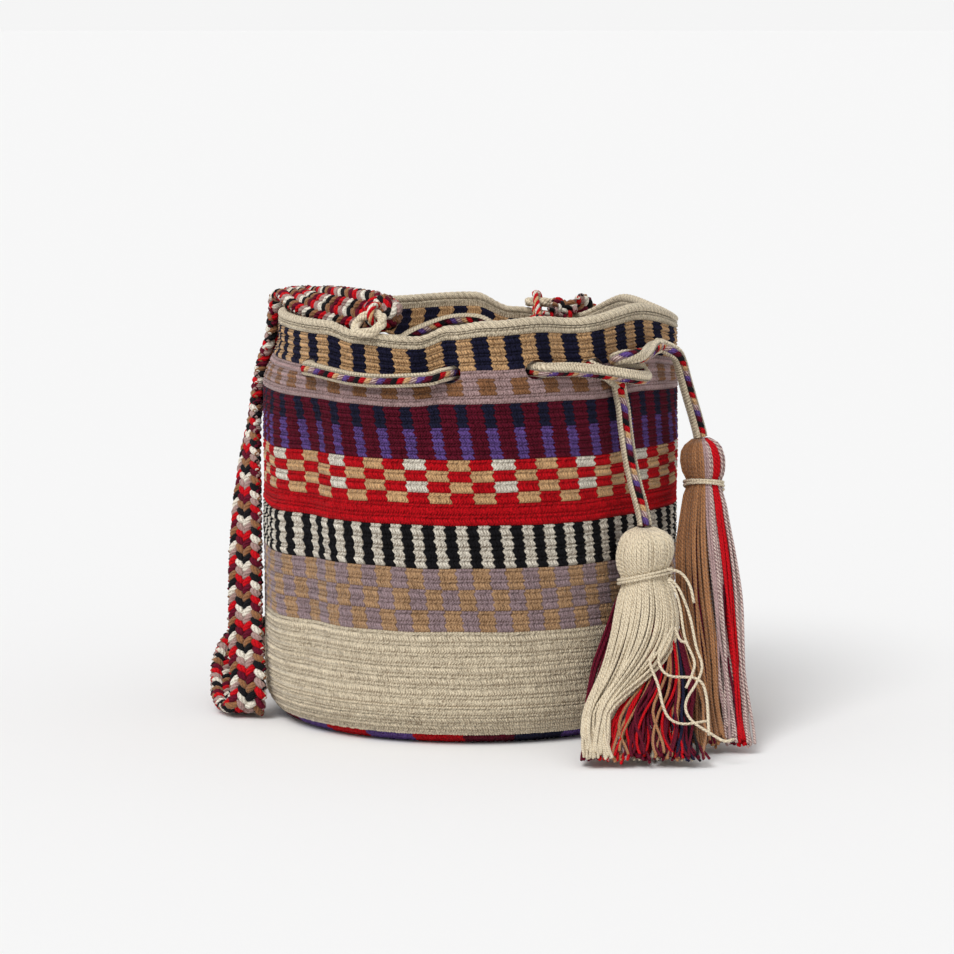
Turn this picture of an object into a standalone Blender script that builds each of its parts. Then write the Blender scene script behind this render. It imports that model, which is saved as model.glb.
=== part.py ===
"""Crossbody bucket bag, crocheted in the round, with a laced drawstring, two tassels and a braided strap.

Metres, +Z up. The origin is the middle of the flat underside, and -Y is the front. A place on the wall is given
by its angle round the bag in degrees (0 is the front, 90 the right side), its height up an undisturbed wall, and
its lift, the distance outwards from the crests of the crochet rows.
"""

import math

import bmesh
import bpy
from mathutils import Matrix, Vector

# Bag body
BODY_RADIUS = 0.124
BODY_HEIGHT = 0.246
WALL = 0.005
BASE_ROUND_OUT = 0.021
BASE_ROUND_UP = 0.024
ROW_HEIGHT = 0.00617
ROW_DEPTH = 0.0012
RIM_ROLL = 0.0065
INSIDE_STEPS = 14
CORNER_STEPS = 8
TURN_STEPS = 45

# Where the mouth is pulled in and how far, as (angle, distance), with the heights between which it grows
LEAN = ((-90, 0.0095), (-45, 0.006), (-8, 0.003), (30, 0.003), (60, 0.001), (90, 0.0), (140, 0.004), (225, 0.007))
LEAN_FROM = 0.200
LEAN_FULL = 0.231

# Height of the rim round the mouth, as (angle, height)
RIM = (
    (-80, 0.2450),
    (-45, 0.2440),
    (-35, 0.2395),
    (-15, 0.2370),
    (-6, 0.2430),
    (5, 0.2465),
    (20, 0.2485),
    (31, 0.2467),
    (56, 0.2525),
    (88, 0.2410),
    (124, 0.2480),
    (148, 0.2330),
    (166, 0.2370),
    (178, 0.2460),
    (205, 0.2440),
    (250, 0.2440),
)
RIM_WAVE_FROM = 0.165
RIM_WAVE_POWER = 1.5

# Soft folds in the wall: angle, half width in degrees, depth (negative swells), and the heights between which
# the fold starts, is full, begins to fade and ends
FOLDS = (
    (-8.0, 7.0, 0.0120, 0.170, 0.236, 0.300, 0.310),
    (27.0, 7.0, 0.0050, 0.185, 0.236, 0.300, 0.310),
    (-50.0, 7.0, 0.0045, 0.020, 0.070, 0.170, 0.215),
    (-64.0, 9.0, -0.0025, 0.020, 0.070, 0.170, 0.215),
    (55.0, 14.0, 0.0035, 0.050, 0.120, 0.300, 0.310),
    (80.0, 14.0, -0.0020, 0.050, 0.120, 0.300, 0.310),
    (-122.0, 10.0, 0.0040, 0.150, 0.225, 0.300, 0.310),
    (112.0, 12.0, 0.0040, 0.130, 0.220, 0.300, 0.310),
    (172.5, 8.0, 0.0065, 0.150, 0.230, 0.300, 0.310),
)

# Eyelets for the drawstring, all in one crochet row
EYELET_HEIGHT = 0.217
EYELET_ANGLES = (36.5, 108.0, 140.0, 208.0, 242.0, 309.0, 354.0, 379.0)
EYELET_HALF_WIDTH = 0.0078
EYELET_SLACK = 0.0013
EYELET_SWING = 0.0006
PLEAT_EYELET = 354.0
PLEAT_SWING = 0.0034

# Drawstring. It lies against the wall, OUTSIDE or INSIDE of it, and its runs between the eyelets are given by
# angle and height
CORD_RADIUS = 0.0042
CORD_BEVEL = 2
CLEARANCE = 0.0009
OUTSIDE = CORD_RADIUS + CLEARANCE
INSIDE = -(WALL + CORD_RADIUS + CLEARANCE)
CORD_RUNS = (
    ((46, 0.2160), (60, 0.2145), (75, 0.2140), (92, 0.2155)),
    ((118, 0.2165), (130, 0.2165)),
    ((152, 0.2190), (163, 0.2240), (170, 0.2268), (177, 0.2286), (187, 0.2280), (198, 0.2215)),
    ((217, 0.2160), (225, 0.2155), (233, 0.2160)),
    ((254, 0.2160), (270, 0.2145), (286, 0.2145), (299, 0.2160)),
    ((318, 0.2165), (328, 0.2158), (337, 0.2161)),
    ((366, 0.2165),),
)

# Tassels
FLUTES = 12
FLUTE_DEPTH = 0.12
YARN_RADIUS = 0.0011
BINDING_TURNS = 2
BINDING_POINTS = 14
SEAT_GAP = 0.0005
TAIL_LEAD = 0.004

# Strap and the loops that hold it
STRAP_WIDTH = 0.024
STRAP_THICKNESS = 0.009
STRAP_RIDGE = 0.0065
STRAP_RIDGE_DEPTH = 0.14
STRAP_CHEVRON = 0.003
LOOP_RADIUS = 0.0082
LOOP_TUBE_RADIUS = 0.0034
LOOP_TILT = 52.0
LOOP_SEAT = 0.0016
LOOP_ANGLES = {"strap_loop_front": -29.5, "strap_loop_back": 157.0}
BIGHT_RADIUS = 0.0023
BIGHT_WRAP = 125
BIGHT_STEP = 25
BIGHT_SPREAD = 0.004

CREAM = (0.60, 0.51, 0.36)
MAROON = (0.07, 0.005, 0.012)
TAN = (0.55, 0.31, 0.13)


def ease(low, high, value):
    """0 up to low and 1 from high, with a smooth rise between."""
    share = min(max((value - low) / (high - low), 0.0), 1.0)
    return share * share * (3 - 2 * share)


def round_the_bag(table, angle):
    """The value at an angle of a table of (angle, value) that goes once round the bag, eased between entries."""
    start = table[0][0]
    angle = (angle - start) % 360 + start
    for (low, before), (high, after) in zip(table, table[1:] + ((start + 360, table[0][1]),)):
        if angle <= high:
            return before + (after - before) * ease(low, high, angle)
    return table[0][1]


def wall_radius(angle, height):
    """Distance of the row crests from the bag's axis."""
    radius = BODY_RADIUS - round_the_bag(LEAN, angle) * ease(LEAN_FROM, LEAN_FULL, height)
    for middle, half, depth, start, full, fade, end in FOLDS:
        away = (angle - middle + 180) % 360 - 180
        grown = ease(start, full, height) * (1 - ease(fade, end, height))
        radius -= depth * math.exp(-((away / half) ** 2)) * grown
    return radius


def wave(angle, height):
    """How far the wall stands above or below its undisturbed height."""
    share = max((height - RIM_WAVE_FROM) / (BODY_HEIGHT - RIM_WAVE_FROM), 0.0)
    return (round_the_bag(RIM, angle) - BODY_HEIGHT) * share**RIM_WAVE_POWER


def on_wall(angle, height, lift):
    """The point at a lift from the wall."""
    turn = math.radians(angle)
    radius = wall_radius(angle, height) + lift
    return Vector((radius * math.sin(turn), -radius * math.cos(turn), height + wave(angle, height)))


def smooth_curve(points, steps=24):
    """Close points along the smooth curve through the given points."""
    points = [Vector(p) for p in points]
    ends = [2 * points[0] - points[1], *points, 2 * points[-1] - points[-2]]
    fine = []
    for before, a, b, after in zip(ends, ends[1:], ends[2:], ends[3:]):
        for step in range(steps):
            t = step / steps
            fine.append(
                0.5 * (2 * a + (b - before) * t + (2 * before - 5 * a + 4 * b - after) * t**2
                       + (3 * a - before - 3 * b + after) * t**3)
            )
    fine.append(points[-1])
    return fine


def cord_points(points, longest, most_turn=24.0):
    """Points of the smooth curve through the given ones, close where it bends and longest apart elsewhere."""
    fine = smooth_curve(points)
    kept, heading, gone = [fine[0]], (fine[1] - fine[0]).normalized(), 0.0
    for a, b in zip(fine, fine[1:]):
        gone += (b - a).length
        turned = math.degrees(heading.angle(b - a, 0.0))
        if gone >= longest or turned >= most_turn:
            kept.append(b)
            heading, gone = (b - a).normalized(), 0.0
    if (kept[-1] - fine[-1]).length < longest / 4:
        kept.pop()
    return kept + [fine[-1]]


def length_of(points):
    return sum((b - a).length for a, b in zip(points, points[1:]))


def material(name, colour, roughness=0.9):
    made = bpy.data.materials.new(name)
    made.use_nodes = True
    shader = made.node_tree.nodes["Principled BSDF"]
    shader.inputs["Base Color"].default_value = (*colour, 1)
    shader.inputs["Roughness"].default_value = roughness
    shader.inputs["Metallic"].default_value = 0.0
    made.diffuse_color = (*colour, 1)
    return made


def link(name, data, collection, colour=None):
    made = bpy.data.objects.new(name, data)
    collection.objects.link(made)
    if colour:
        data.materials.append(material(name, colour))
    return made


def baked(thing):
    """The mesh of an object as it is evaluated, with the loose caps of a curve welded. The object goes."""
    bpy.context.view_layer.update()
    graph = bpy.context.evaluated_depsgraph_get()
    mesh = bpy.data.meshes.new_from_object(thing.evaluated_get(graph))
    old, place = thing.data, thing.matrix_world.copy()
    bpy.data.objects.remove(thing)
    if isinstance(old, bpy.types.Curve):
        bpy.data.curves.remove(old)
    work = bmesh.new()
    work.from_mesh(mesh)
    bmesh.ops.remove_doubles(work, verts=work.verts, dist=1e-6)
    work.to_mesh(mesh)
    work.free()
    return mesh, place


def tube(name, route, radius, collection, colour, closed=False):
    """A round cord along a list of points."""
    curve = bpy.data.curves.new(name, "CURVE")
    curve.dimensions = "3D"
    curve.bevel_depth = radius
    curve.bevel_resolution = CORD_BEVEL
    curve.use_fill_caps = not closed
    spline = curve.splines.new("POLY")
    spline.points.add(len(route) - 1)
    for point, place in zip(spline.points, route):
        point.co = (*place, 1)
    spline.use_cyclic_u = closed
    spline.use_smooth = True
    return link(name, curve, collection, colour)


def loft(name, rings, collection, colour):
    """A closed solid through rings of points, with a flat cap on the first and the last."""
    work = bmesh.new()
    made = [[work.verts.new(p) for p in ring] for ring in rings]
    count = len(made[0])
    for a, b in zip(made, made[1:]):
        for i in range(count):
            j = (i + 1) % count
            work.faces.new((a[i], a[j], b[j], b[i]))
    work.faces.new(made[0][::-1])
    work.faces.new(made[-1])
    bmesh.ops.recalc_face_normals(work, faces=work.faces)
    mesh = bpy.data.meshes.new(name)
    work.to_mesh(mesh)
    work.free()
    mesh.shade_smooth()
    return link(name, mesh, collection, colour)


def body_profile():
    """(radius, height) from the middle of the inside floor, up the inner wall, over the rim, down and under."""
    flat = BODY_RADIUS - BASE_ROUND_OUT
    rim_from = BODY_HEIGHT - RIM_ROLL
    profile = [(0.0, WALL), (flat / 2, WALL)]
    for n in range(0, CORNER_STEPS + 1, 2):
        turn = math.radians(90 * n / CORNER_STEPS)
        radius = flat + (BASE_ROUND_OUT - WALL) * math.sin(turn)
        profile.append((radius, BASE_ROUND_UP - (BASE_ROUND_UP - WALL) * math.cos(turn)))
    for n in range(1, INSIDE_STEPS):
        share = n / INSIDE_STEPS
        profile.append((BODY_RADIUS - WALL, BASE_ROUND_UP + (rim_from - BASE_ROUND_UP) * share))
    for turn in (180, 140, 100, 60, 25):
        across = math.cos(math.radians(turn)) * WALL / 2
        up = math.sin(math.radians(turn)) * WALL / 2
        profile.append((BODY_RADIUS - WALL / 2 + across, BODY_HEIGHT - WALL / 2 + up))
    rows = round((rim_from - BASE_ROUND_UP) / ROW_HEIGHT)
    pitch = (rim_from - BASE_ROUND_UP) / rows
    profile.append((BODY_RADIUS, rim_from + pitch / 2))
    for row in range(rows):
        top = rim_from - row * pitch
        profile += [(BODY_RADIUS - ROW_DEPTH, top), (BODY_RADIUS, top - pitch / 2)]
    profile.append((BODY_RADIUS - ROW_DEPTH, BASE_ROUND_UP))
    for n in range(1, CORNER_STEPS + 1):
        turn = math.radians(90 * n / CORNER_STEPS)
        shrink = 0 if n % 2 or n == CORNER_STEPS else ROW_DEPTH
        radius = flat + (BASE_ROUND_OUT - shrink) * math.cos(turn)
        profile.append((radius, BASE_ROUND_UP - (BASE_ROUND_UP - shrink) * math.sin(turn)))
    return profile + [(flat / 2, 0.0), (0.0, 0.0)]


def make_body(collection, cutters):
    outline = bpy.data.meshes.new("bag_body_profile")
    points = [(radius, 0, height) for radius, height in body_profile()]
    outline.from_pydata(points, [(n, n + 1) for n in range(len(points) - 1)], [])
    turned = link("bag_body_turned", outline, collection)
    screw = turned.modifiers.new("turn", "SCREW")
    screw.steps = screw.render_steps = TURN_STEPS
    screw.use_merge_vertices = True
    screw.merge_threshold = 0.00005
    screw.use_normal_calculate = False
    mesh, _ = baked(turned)
    for vertex in mesh.vertices:
        x, y, height = vertex.co
        if height <= 0:
            continue
        angle = math.degrees(math.atan2(x, -y))
        lift = math.hypot(x, y) - BODY_RADIUS
        settled = ease(0.0, BASE_ROUND_UP, height)
        place = on_wall(angle, height, lift)
        vertex.co = vertex.co.lerp(place, settled)
    mesh.name = "bag_body"
    mesh.shade_smooth()
    body = link("bag_body", mesh, collection, CREAM)
    cut = body.modifiers.new("eyelets", "BOOLEAN")
    cut.operation = "DIFFERENCE"
    cut.solver = "EXACT"
    cut.object = eyelet_cutter(cutters)
    return body


def eyelet_cutter(cutters):
    """One oval bar through the wall at each eyelet, pointing at the bag's axis."""
    work = bmesh.new()
    for angle in EYELET_ANGLES:
        place = on_wall(angle, EYELET_HEIGHT, -WALL / 2)
        turn = Matrix.Rotation(math.radians(angle), 4, "Z") @ Matrix.Rotation(math.radians(90), 4, "X")
        size = Matrix.Diagonal((EYELET_HALF_WIDTH, CORD_RADIUS + EYELET_SLACK, 1, 1))
        bmesh.ops.create_cone(
            work, cap_ends=True, segments=16, radius1=1, radius2=1, depth=WALL * 4,
            matrix=Matrix.Translation(place) @ turn @ size,
        )
    mesh = bpy.data.meshes.new("eyelet_cutter")
    work.to_mesh(mesh)
    work.free()
    cutter = link("eyelet_cutter", mesh, cutters)
    cutter.hide_render = True
    cutter.display_type = "WIRE"
    return cutter


def through_eyelet(angle, outwards):
    """The cord's points where it passes through the wall at an eyelet."""
    swing = PLEAT_SWING if angle == PLEAT_EYELET else EYELET_SWING
    start, end = (INSIDE - swing, OUTSIDE + swing) if outwards else (OUTSIDE + swing, INSIDE - swing)
    steps = ((-5.6, 0.0), (-2.3, 0.08), (-0.5, 0.36), (0.5, 0.64), (2.3, 0.92), (5.6, 1.0))
    return [on_wall(angle + away, EYELET_HEIGHT, start + (end - start) * share) for away, share in steps]


# The half knot: the right end of the cord comes out of the first eyelet and turns down under the left end, which
# crosses over it, turns back behind it and comes up to go over the bag's shoulder. (angle, height, lift)
KNOT_RIGHT_END = (
    (42.9, 0.2040, 0.0054),
    (42.6, 0.2068, 0.0054),
    (41.2, 0.2095, 0.0053),
    (39.2, 0.2126, 0.0050),
)
KNOT_LEFT_END = (
    (388, 0.2175, 0.0062),
    (393, 0.2165, 0.0090),
    (397.5, 0.2145, 0.0125),
    (402, 0.2120, 0.0144),
    (406.5, 0.2098, 0.0146),
    (410.4, 0.2090, 0.0118),
    (412.2, 0.2108, 0.0072),
    (411.0, 0.2145, 0.0052),
    (407.5, 0.2176, 0.0050),
    (403.6, 0.2196, 0.0054),
    (401.2, 0.2212, 0.0084),
    (402.0, 0.2224, 0.0130),
    (405.8, 0.2216, 0.0152),
    (411.0, 0.2216, 0.0128),
    (416.0, 0.2226, 0.0090),
    (420.0, 0.2234, 0.0070),
)

# The two hanging ends, from just past the knot to the tops of the tassels' heads
TAIL_FRONT = (
    (0.0890, -0.0950, 0.1940),
    (0.0903, -0.0946, 0.1830),
    (0.0930, -0.0944, 0.1650),
    (0.0962, -0.0958, 0.1500),
    (0.0992, -0.0985, 0.1390),
    (0.1012, -0.1005, 0.1300),
    (0.1016, -0.1008, 0.1264),
)
TAIL_RIGHT = (
    (0.1208, -0.0553, 0.2228),
    (0.1243, -0.0510, 0.2165),
    (0.1266, -0.0480, 0.2085),
    (0.1305, -0.0462, 0.1950),
    (0.1340, -0.0452, 0.1835),
    (0.1362, -0.0448, 0.1755),
    (0.1370, -0.0447, 0.1716),
)

# A tassel: the line down its middle, and (how far down it, half width, half thickness, depth of flutes) there.
# The half width lies along the floor at its end
FRONT_TASSEL = {
    "middle": (
        (0.1018, -0.1012, 0.1250),
        (0.1020, -0.1014, 0.1080),
        (0.1016, -0.1030, 0.0920),
        (0.1000, -0.1090, 0.0700),
        (0.0985, -0.1230, 0.0450),
        (0.0980, -0.1420, 0.0250),
        (0.0985, -0.1620, 0.0120),
        (0.0990, -0.1800, 0.0068),
    ),
    "sections": (
        (0.000, 0.0060, 0.0060, 0),
        (0.002, 0.0108, 0.0108, 0.5),
        (0.007, 0.0158, 0.0158, 1),
        (0.015, 0.0172, 0.0172, 1),
        (0.024, 0.0166, 0.0166, 0.8),
        (0.029, 0.0146, 0.0146, 0),
        (0.036, 0.0144, 0.0144, 0),
        (0.041, 0.0172, 0.0160, 1),
        (0.060, 0.0200, 0.0165, 1),
        (0.085, 0.0260, 0.0150, 1),
        (0.110, 0.0330, 0.0125, 1),
        (0.132, 0.0375, 0.0100, 1),
        (0.148, 0.0385, 0.0075, 1),
    ),
    "neck": (0.0325, 0.0144),
}
RIGHT_TASSEL = {
    "middle": (
        (0.1372, -0.0447, 0.1702),
        (0.1385, -0.0455, 0.1560),
        (0.1392, -0.0475, 0.1410),
        (0.1400, -0.0600, 0.1120),
        (0.1425, -0.0800, 0.0800),
        (0.1450, -0.1000, 0.0480),
        (0.1470, -0.1190, 0.0200),
        (0.1480, -0.1350, 0.0045),
    ),
    "sections": (
        (0.000, 0.0060, 0.0060, 0),
        (0.002, 0.0096, 0.0096, 0.5),
        (0.007, 0.0124, 0.0124, 1),
        (0.014, 0.0132, 0.0132, 1),
        (0.021, 0.0126, 0.0126, 0.8),
        (0.026, 0.0108, 0.0108, 0),
        (0.033, 0.0107, 0.0107, 0),
        (0.038, 0.0128, 0.0120, 1),
        (0.065, 0.0150, 0.0125, 1),
        (0.100, 0.0170, 0.0125, 1),
        (0.140, 0.0180, 0.0110, 1),
        (0.168, 0.0185, 0.0085, 1),
        (0.190, 0.0185, 0.0060, 1),
    ),
    "neck": (0.0295, 0.0107),
}

# The strap's middle line from the front loop to the back loop, with the direction of its width at each point
STRAP_ROUTE = (
    ((-0.0525, -0.0760, 0.2480), (0.30, 0.15, 0.90)),
    ((-0.0680, -0.0540, 0.2485), (0.30, 0.15, 0.90)),
    ((-0.0870, -0.0240, 0.2490), (0.55, 0.25, 0.78)),
    ((-0.0990, 0.0040, 0.2500), (0.80, 0.35, 0.40)),
    ((-0.1055, 0.0250, 0.2515), (0.75, 0.65, 0.10)),
    ((-0.1120, 0.0390, 0.2490), (0.44, 0.90, 0.00)),
    ((-0.1163, 0.0430, 0.2400), (0.34, 0.94, 0.00)),
    ((-0.1185, 0.0430, 0.2250), (0.34, 0.94, 0.00)),
    ((-0.1250, 0.0430, 0.2050), (0.30, 0.95, 0.00)),
    ((-0.1300, 0.0330, 0.1830), (0.06, 1.00, 0.00)),
    ((-0.1330, 0.0190, 0.1570), (-0.35, 0.93, 0.00)),
    ((-0.1345, 0.0060, 0.1280), (-0.65, 0.76, 0.00)),
    ((-0.1350, -0.0060, 0.1000), (-0.80, 0.60, 0.00)),
    ((-0.1350, -0.0150, 0.0710), (-0.84, 0.54, 0.00)),
    ((-0.1342, -0.0250, 0.0440), (-0.86, 0.50, 0.00)),
    ((-0.1325, -0.0345, 0.0230), (-0.90, 0.42, 0.00)),
    ((-0.1335, -0.0335, 0.0100), (-0.95, 0.20, 0.10)),
    ((-0.1375, -0.0240, 0.0062), (-0.97, -0.20, 0.00)),
    ((-0.1430, -0.0080, 0.0064), (-0.95, -0.30, 0.05)),
    ((-0.1465, 0.0130, 0.0115), (-0.90, -0.15, 0.30)),
    ((-0.1470, 0.0350, 0.0220), (-0.80, 0.00, 0.55)),
    ((-0.1415, 0.0600, 0.0300), (-0.50, 0.05, 0.85)),
    ((-0.1265, 0.0850, 0.0310), (-0.30, 0.10, 0.95)),
    ((-0.1010, 0.1100, 0.0260), (-0.25, 0.25, 0.94)),
    ((-0.0660, 0.1290, 0.0190), (-0.20, 0.40, 0.85)),
    ((-0.0260, 0.1390, 0.0140), (-0.10, 0.70, 0.65)),
    ((0.0150, 0.1430, 0.0110), (0.00, 0.85, 0.45)),
    ((0.0550, 0.1430, 0.0130), (0.10, 0.80, 0.55)),
    ((0.0880, 0.1350, 0.0240), (0.30, 0.50, 0.80)),
    ((0.1020, 0.1240, 0.0480), (0.55, 0.30, 0.75)),
    ((0.1010, 0.1170, 0.0800), (0.75, 0.45, 0.30)),
    ((0.0920, 0.1190, 0.1200), (0.82, 0.55, 0.00)),
    ((0.0830, 0.1210, 0.1600), (0.83, 0.55, 0.00)),
    ((0.0780, 0.1185, 0.2000), (0.83, 0.56, 0.00)),
    ((0.0760, 0.1145, 0.2260), (0.83, 0.56, 0.00)),
    ((0.0735, 0.1080, 0.2375), (0.83, 0.56, 0.00)),
    ((0.0665, 0.0960, 0.2415), (0.83, 0.56, 0.00)),
    ((0.0580, 0.0850, 0.2380), (0.80, 0.58, 0.00)),
    ((0.0470, 0.0780, 0.2320), (0.70, 0.70, 0.00)),
)
KNOTS = {
    "front": ((-0.0500, -0.0790, 0.2480), (0.0120, 0.0120, 0.0115)),
    "back": ((0.0400, 0.0760, 0.2335), (0.0120, 0.0120, 0.0105)),
}


def drawstring_route():
    """From the front tail's start in the knot, in and out of the eyelets round the bag, and into the knot again."""
    route = [on_wall(*place) for place in KNOT_RIGHT_END]
    outwards = False
    for angle, run in zip(EYELET_ANGLES, CORD_RUNS + ((),)):
        crossing = through_eyelet(angle, outwards)
        route += crossing[2:] if angle == EYELET_ANGLES[0] else crossing
        outwards = not outwards
        side = INSIDE if outwards else OUTSIDE
        route += [on_wall(place, height, side) for place, height in run]
    route.pop()
    return route + [on_wall(*place) for place in KNOT_LEFT_END]


def tail_route(knot_end, table):
    """A hanging end of the cord, which goes straight on from the end of the knot's cord."""
    end, before = knot_end
    heading = (end - before).normalized()
    start = end + heading * SEAT_GAP
    return [start] + cord_points([start + heading * TAIL_LEAD, *table], 5 * CORD_RADIUS)


def along(points, distance):
    """The place and the heading at a distance along a line of close points."""
    for a, b in zip(points, points[1:]):
        step = (b - a).length
        if distance <= step:
            return a.lerp(b, distance / step), (b - a).normalized()
        distance -= step
    return points[-1].copy(), (points[-1] - points[-2]).normalized()


def tassel(name, shape, collection, colour):
    """One bundle of yarns: a round head, a bound neck and a skirt that ends on the floor."""
    middle = smooth_curve(shape["middle"])
    middle.append(Vector(shape["middle"][-1]))
    rings = []
    for distance, half_width, half_thick, flute in shape["sections"]:
        place, heading = along(middle, distance)
        across = (Vector((1, 0, 0)) - heading * heading.x).normalized()
        out = heading.cross(across).normalized()
        ring = []
        for n in range(2 * FLUTES):
            turn = math.pi * n / FLUTES
            size = 1 - FLUTE_DEPTH * flute * (n % 2)
            ring.append(place + across * (half_width * size * math.cos(turn))
                        + out * (half_thick * size * math.sin(turn)))
        rings.append(ring)
    return loft(name, rings, collection, colour)


def binding(name, shape, collection, colour):
    """The yarn wound round a tassel's neck."""
    middle = smooth_curve(shape["middle"])
    distance, neck_radius = shape["neck"]
    radius = neck_radius + YARN_RADIUS + SEAT_GAP
    pitch = 2 * YARN_RADIUS + SEAT_GAP
    route = []
    for n in range(BINDING_TURNS * BINDING_POINTS + 1):
        turns = n / BINDING_POINTS
        place, heading = along(middle, distance + (turns - BINDING_TURNS / 2) * pitch)
        side = heading.cross(Vector((0, 1, 0))).normalized()
        route.append(place + Matrix.Rotation(math.tau * turns, 3, heading) @ side * radius)
    return tube(name, route, YARN_RADIUS, collection, colour)


def strap_rings(route):
    """Cross-sections of the braid: two rounded columns on each face, in ridges that run in chevrons."""
    middle = smooth_curve([place for place, _ in route])
    widths = smooth_curve([width for _, width in route])
    across = ((-1, 0), (-0.55, 1), (0, 0.62), (0.55, 1), (1, 0), (0.55, -1), (0, -0.62), (-0.55, -1))
    total = length_of(middle)
    count = round(total / STRAP_RIDGE)
    rings, gone, k = [], 0.0, 0
    for n in range(count + 1):
        wanted = min(total * n / count, total - 1e-9)
        while gone + (middle[k + 1] - middle[k]).length < wanted:
            gone += (middle[k + 1] - middle[k]).length
            k += 1
        heading = (middle[k + 1] - middle[k]).normalized()
        place = middle[k] + heading * (wanted - gone)
        width = widths[k] - heading * widths[k].dot(heading)
        width.normalize()
        face = heading.cross(width)
        size = 1 - STRAP_RIDGE_DEPTH * (n % 2)
        ring = []
        for u, v in across:
            shift = STRAP_CHEVRON * (0.5 - abs(u)) if 0 < n < count else 0.0
            ring.append(place + width * (u * STRAP_WIDTH / 2) + face * (v * size * STRAP_THICKNESS / 2)
                        + heading * shift)
        rings.append(ring)
    return rings, total


def ball(name, place, size, collection):
    work = bmesh.new()
    bmesh.ops.create_uvsphere(work, u_segments=12, v_segments=8, radius=1)
    mesh = bpy.data.meshes.new(name)
    work.to_mesh(mesh)
    work.free()
    mesh.transform(Matrix.Translation(place) @ Matrix.Diagonal((*size, 1)))
    return link(name, mesh, collection)


def loop_frame(name):
    """The middle of a strap loop, the direction of its axle and of its plane: it stands on the rim, tilted in."""
    angle = LOOP_ANGLES[name]
    rim = on_wall(angle, BODY_HEIGHT, -WALL / 2)
    turn = Matrix.Rotation(math.radians(angle), 3, "Z")
    outward, sideways = turn @ Vector((0, -1, 0)), turn @ Vector((1, 0, 0))
    tilt = math.radians(LOOP_TILT)
    up = Vector((0, 0, 1)) * math.cos(tilt) - outward * math.sin(tilt)
    return rim + Vector((0, 0, LOOP_TUBE_RADIUS + LOOP_SEAT)), sideways, up


def strap_loop(name, collection):
    middle, sideways, up = loop_frame(name)
    points = 20
    route = []
    for n in range(points):
        turn = math.tau * n / points
        route.append(middle + sideways * (LOOP_RADIUS * math.cos(turn)) + up * (LOOP_RADIUS * math.sin(turn)))
    return tube(name, route, LOOP_TUBE_RADIUS, collection, CREAM, closed=True)


def bight(name, loop, knot, collection):
    """The strap's end, passed through its loop and over the loop's top, with both ends in the knot."""
    middle, sideways, up = loop_frame(loop)
    through = up.cross(sideways).normalized()
    if through.z < 0:
        through = -through
    top = middle + up * LOOP_RADIUS
    reach = LOOP_TUBE_RADIUS + BIGHT_RADIUS + SEAT_GAP
    knot = Vector(knot)
    route = [knot]
    for turn in range(-BIGHT_WRAP, BIGHT_WRAP + 1, BIGHT_STEP):
        around = math.radians(turn)
        route.append(top + (through * math.sin(around) - up * math.cos(around)) * reach)
    route.append(knot + Vector((0, 0, BIGHT_SPREAD)))
    return tube(name, route, BIGHT_RADIUS, collection, MAROON)


def make_strap(collection, cutters):
    """The braid with the knot and the bight at each end, as one solid."""
    rings, total = strap_rings(STRAP_ROUTE)
    strap = loft("strap", rings, collection, MAROON)
    for end, loop in (("front", "strap_loop_front"), ("back", "strap_loop_back")):
        place, size = KNOTS[end]
        knot = ball(f"knot_{end}", place, size, cutters)
        mesh, _ = baked(bight(f"bight_{end}", loop, place, cutters))
        added = link(f"bight_{end}", mesh, cutters)
        for piece in (knot, added):
            piece.hide_render = True
            piece.display_type = "WIRE"
            join = strap.modifiers.new(piece.name, "BOOLEAN")
            join.operation = "UNION"
            join.solver = "EXACT"
            join.use_self = True
            join.object = piece
    return strap, total


def main():
    for thing in list(bpy.data.objects):
        bpy.data.objects.remove(thing, do_unlink=True)
    parts = bpy.data.collections.new("crossbody_bag")
    cutters = bpy.data.collections.new("cutters")
    for collection in (parts, cutters):
        bpy.context.scene.collection.children.link(collection)

    make_body(parts, cutters)
    lacing = cord_points(drawstring_route(), 5.5 * CORD_RADIUS)
    tube("drawstring", lacing, CORD_RADIUS, parts, CREAM)
    for side, end, table in (("front", lacing[:2], TAIL_FRONT), ("right", lacing[:-3:-1], TAIL_RIGHT)):
        tube(f"drawstring_tail_{side}", tail_route(end, table), CORD_RADIUS, parts, CREAM)
    for side, shape, colour in (("front", FRONT_TASSEL, CREAM), ("right", RIGHT_TASSEL, TAN)):
        tassel(f"tassel_{side}", shape, parts, colour)
        binding(f"tassel_{side}_binding", shape, parts, CREAM)
    for name in LOOP_ANGLES:
        strap_loop(name, parts)
    _, total = make_strap(parts, cutters)
    print(f"drawstring {length_of(lacing):.3f} m, {len(lacing)} points, strap {total:.3f} m")


main()
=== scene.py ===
"""Looks of the crocheted crossbody bag: every stitch, braid and tassel yarn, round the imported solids.

Metres, +Z up, -Y the front. A place on the wall is given, as in the bag's own source, by its angle round
the bag in degrees (0 is the front, 90 the right side), its height up an undisturbed wall, and its lift, the
distance outwards from the crests of the crochet rows.
"""

import math
from functools import partial

import bpy
import numpy as np
from mathutils import Matrix, Vector


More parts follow.
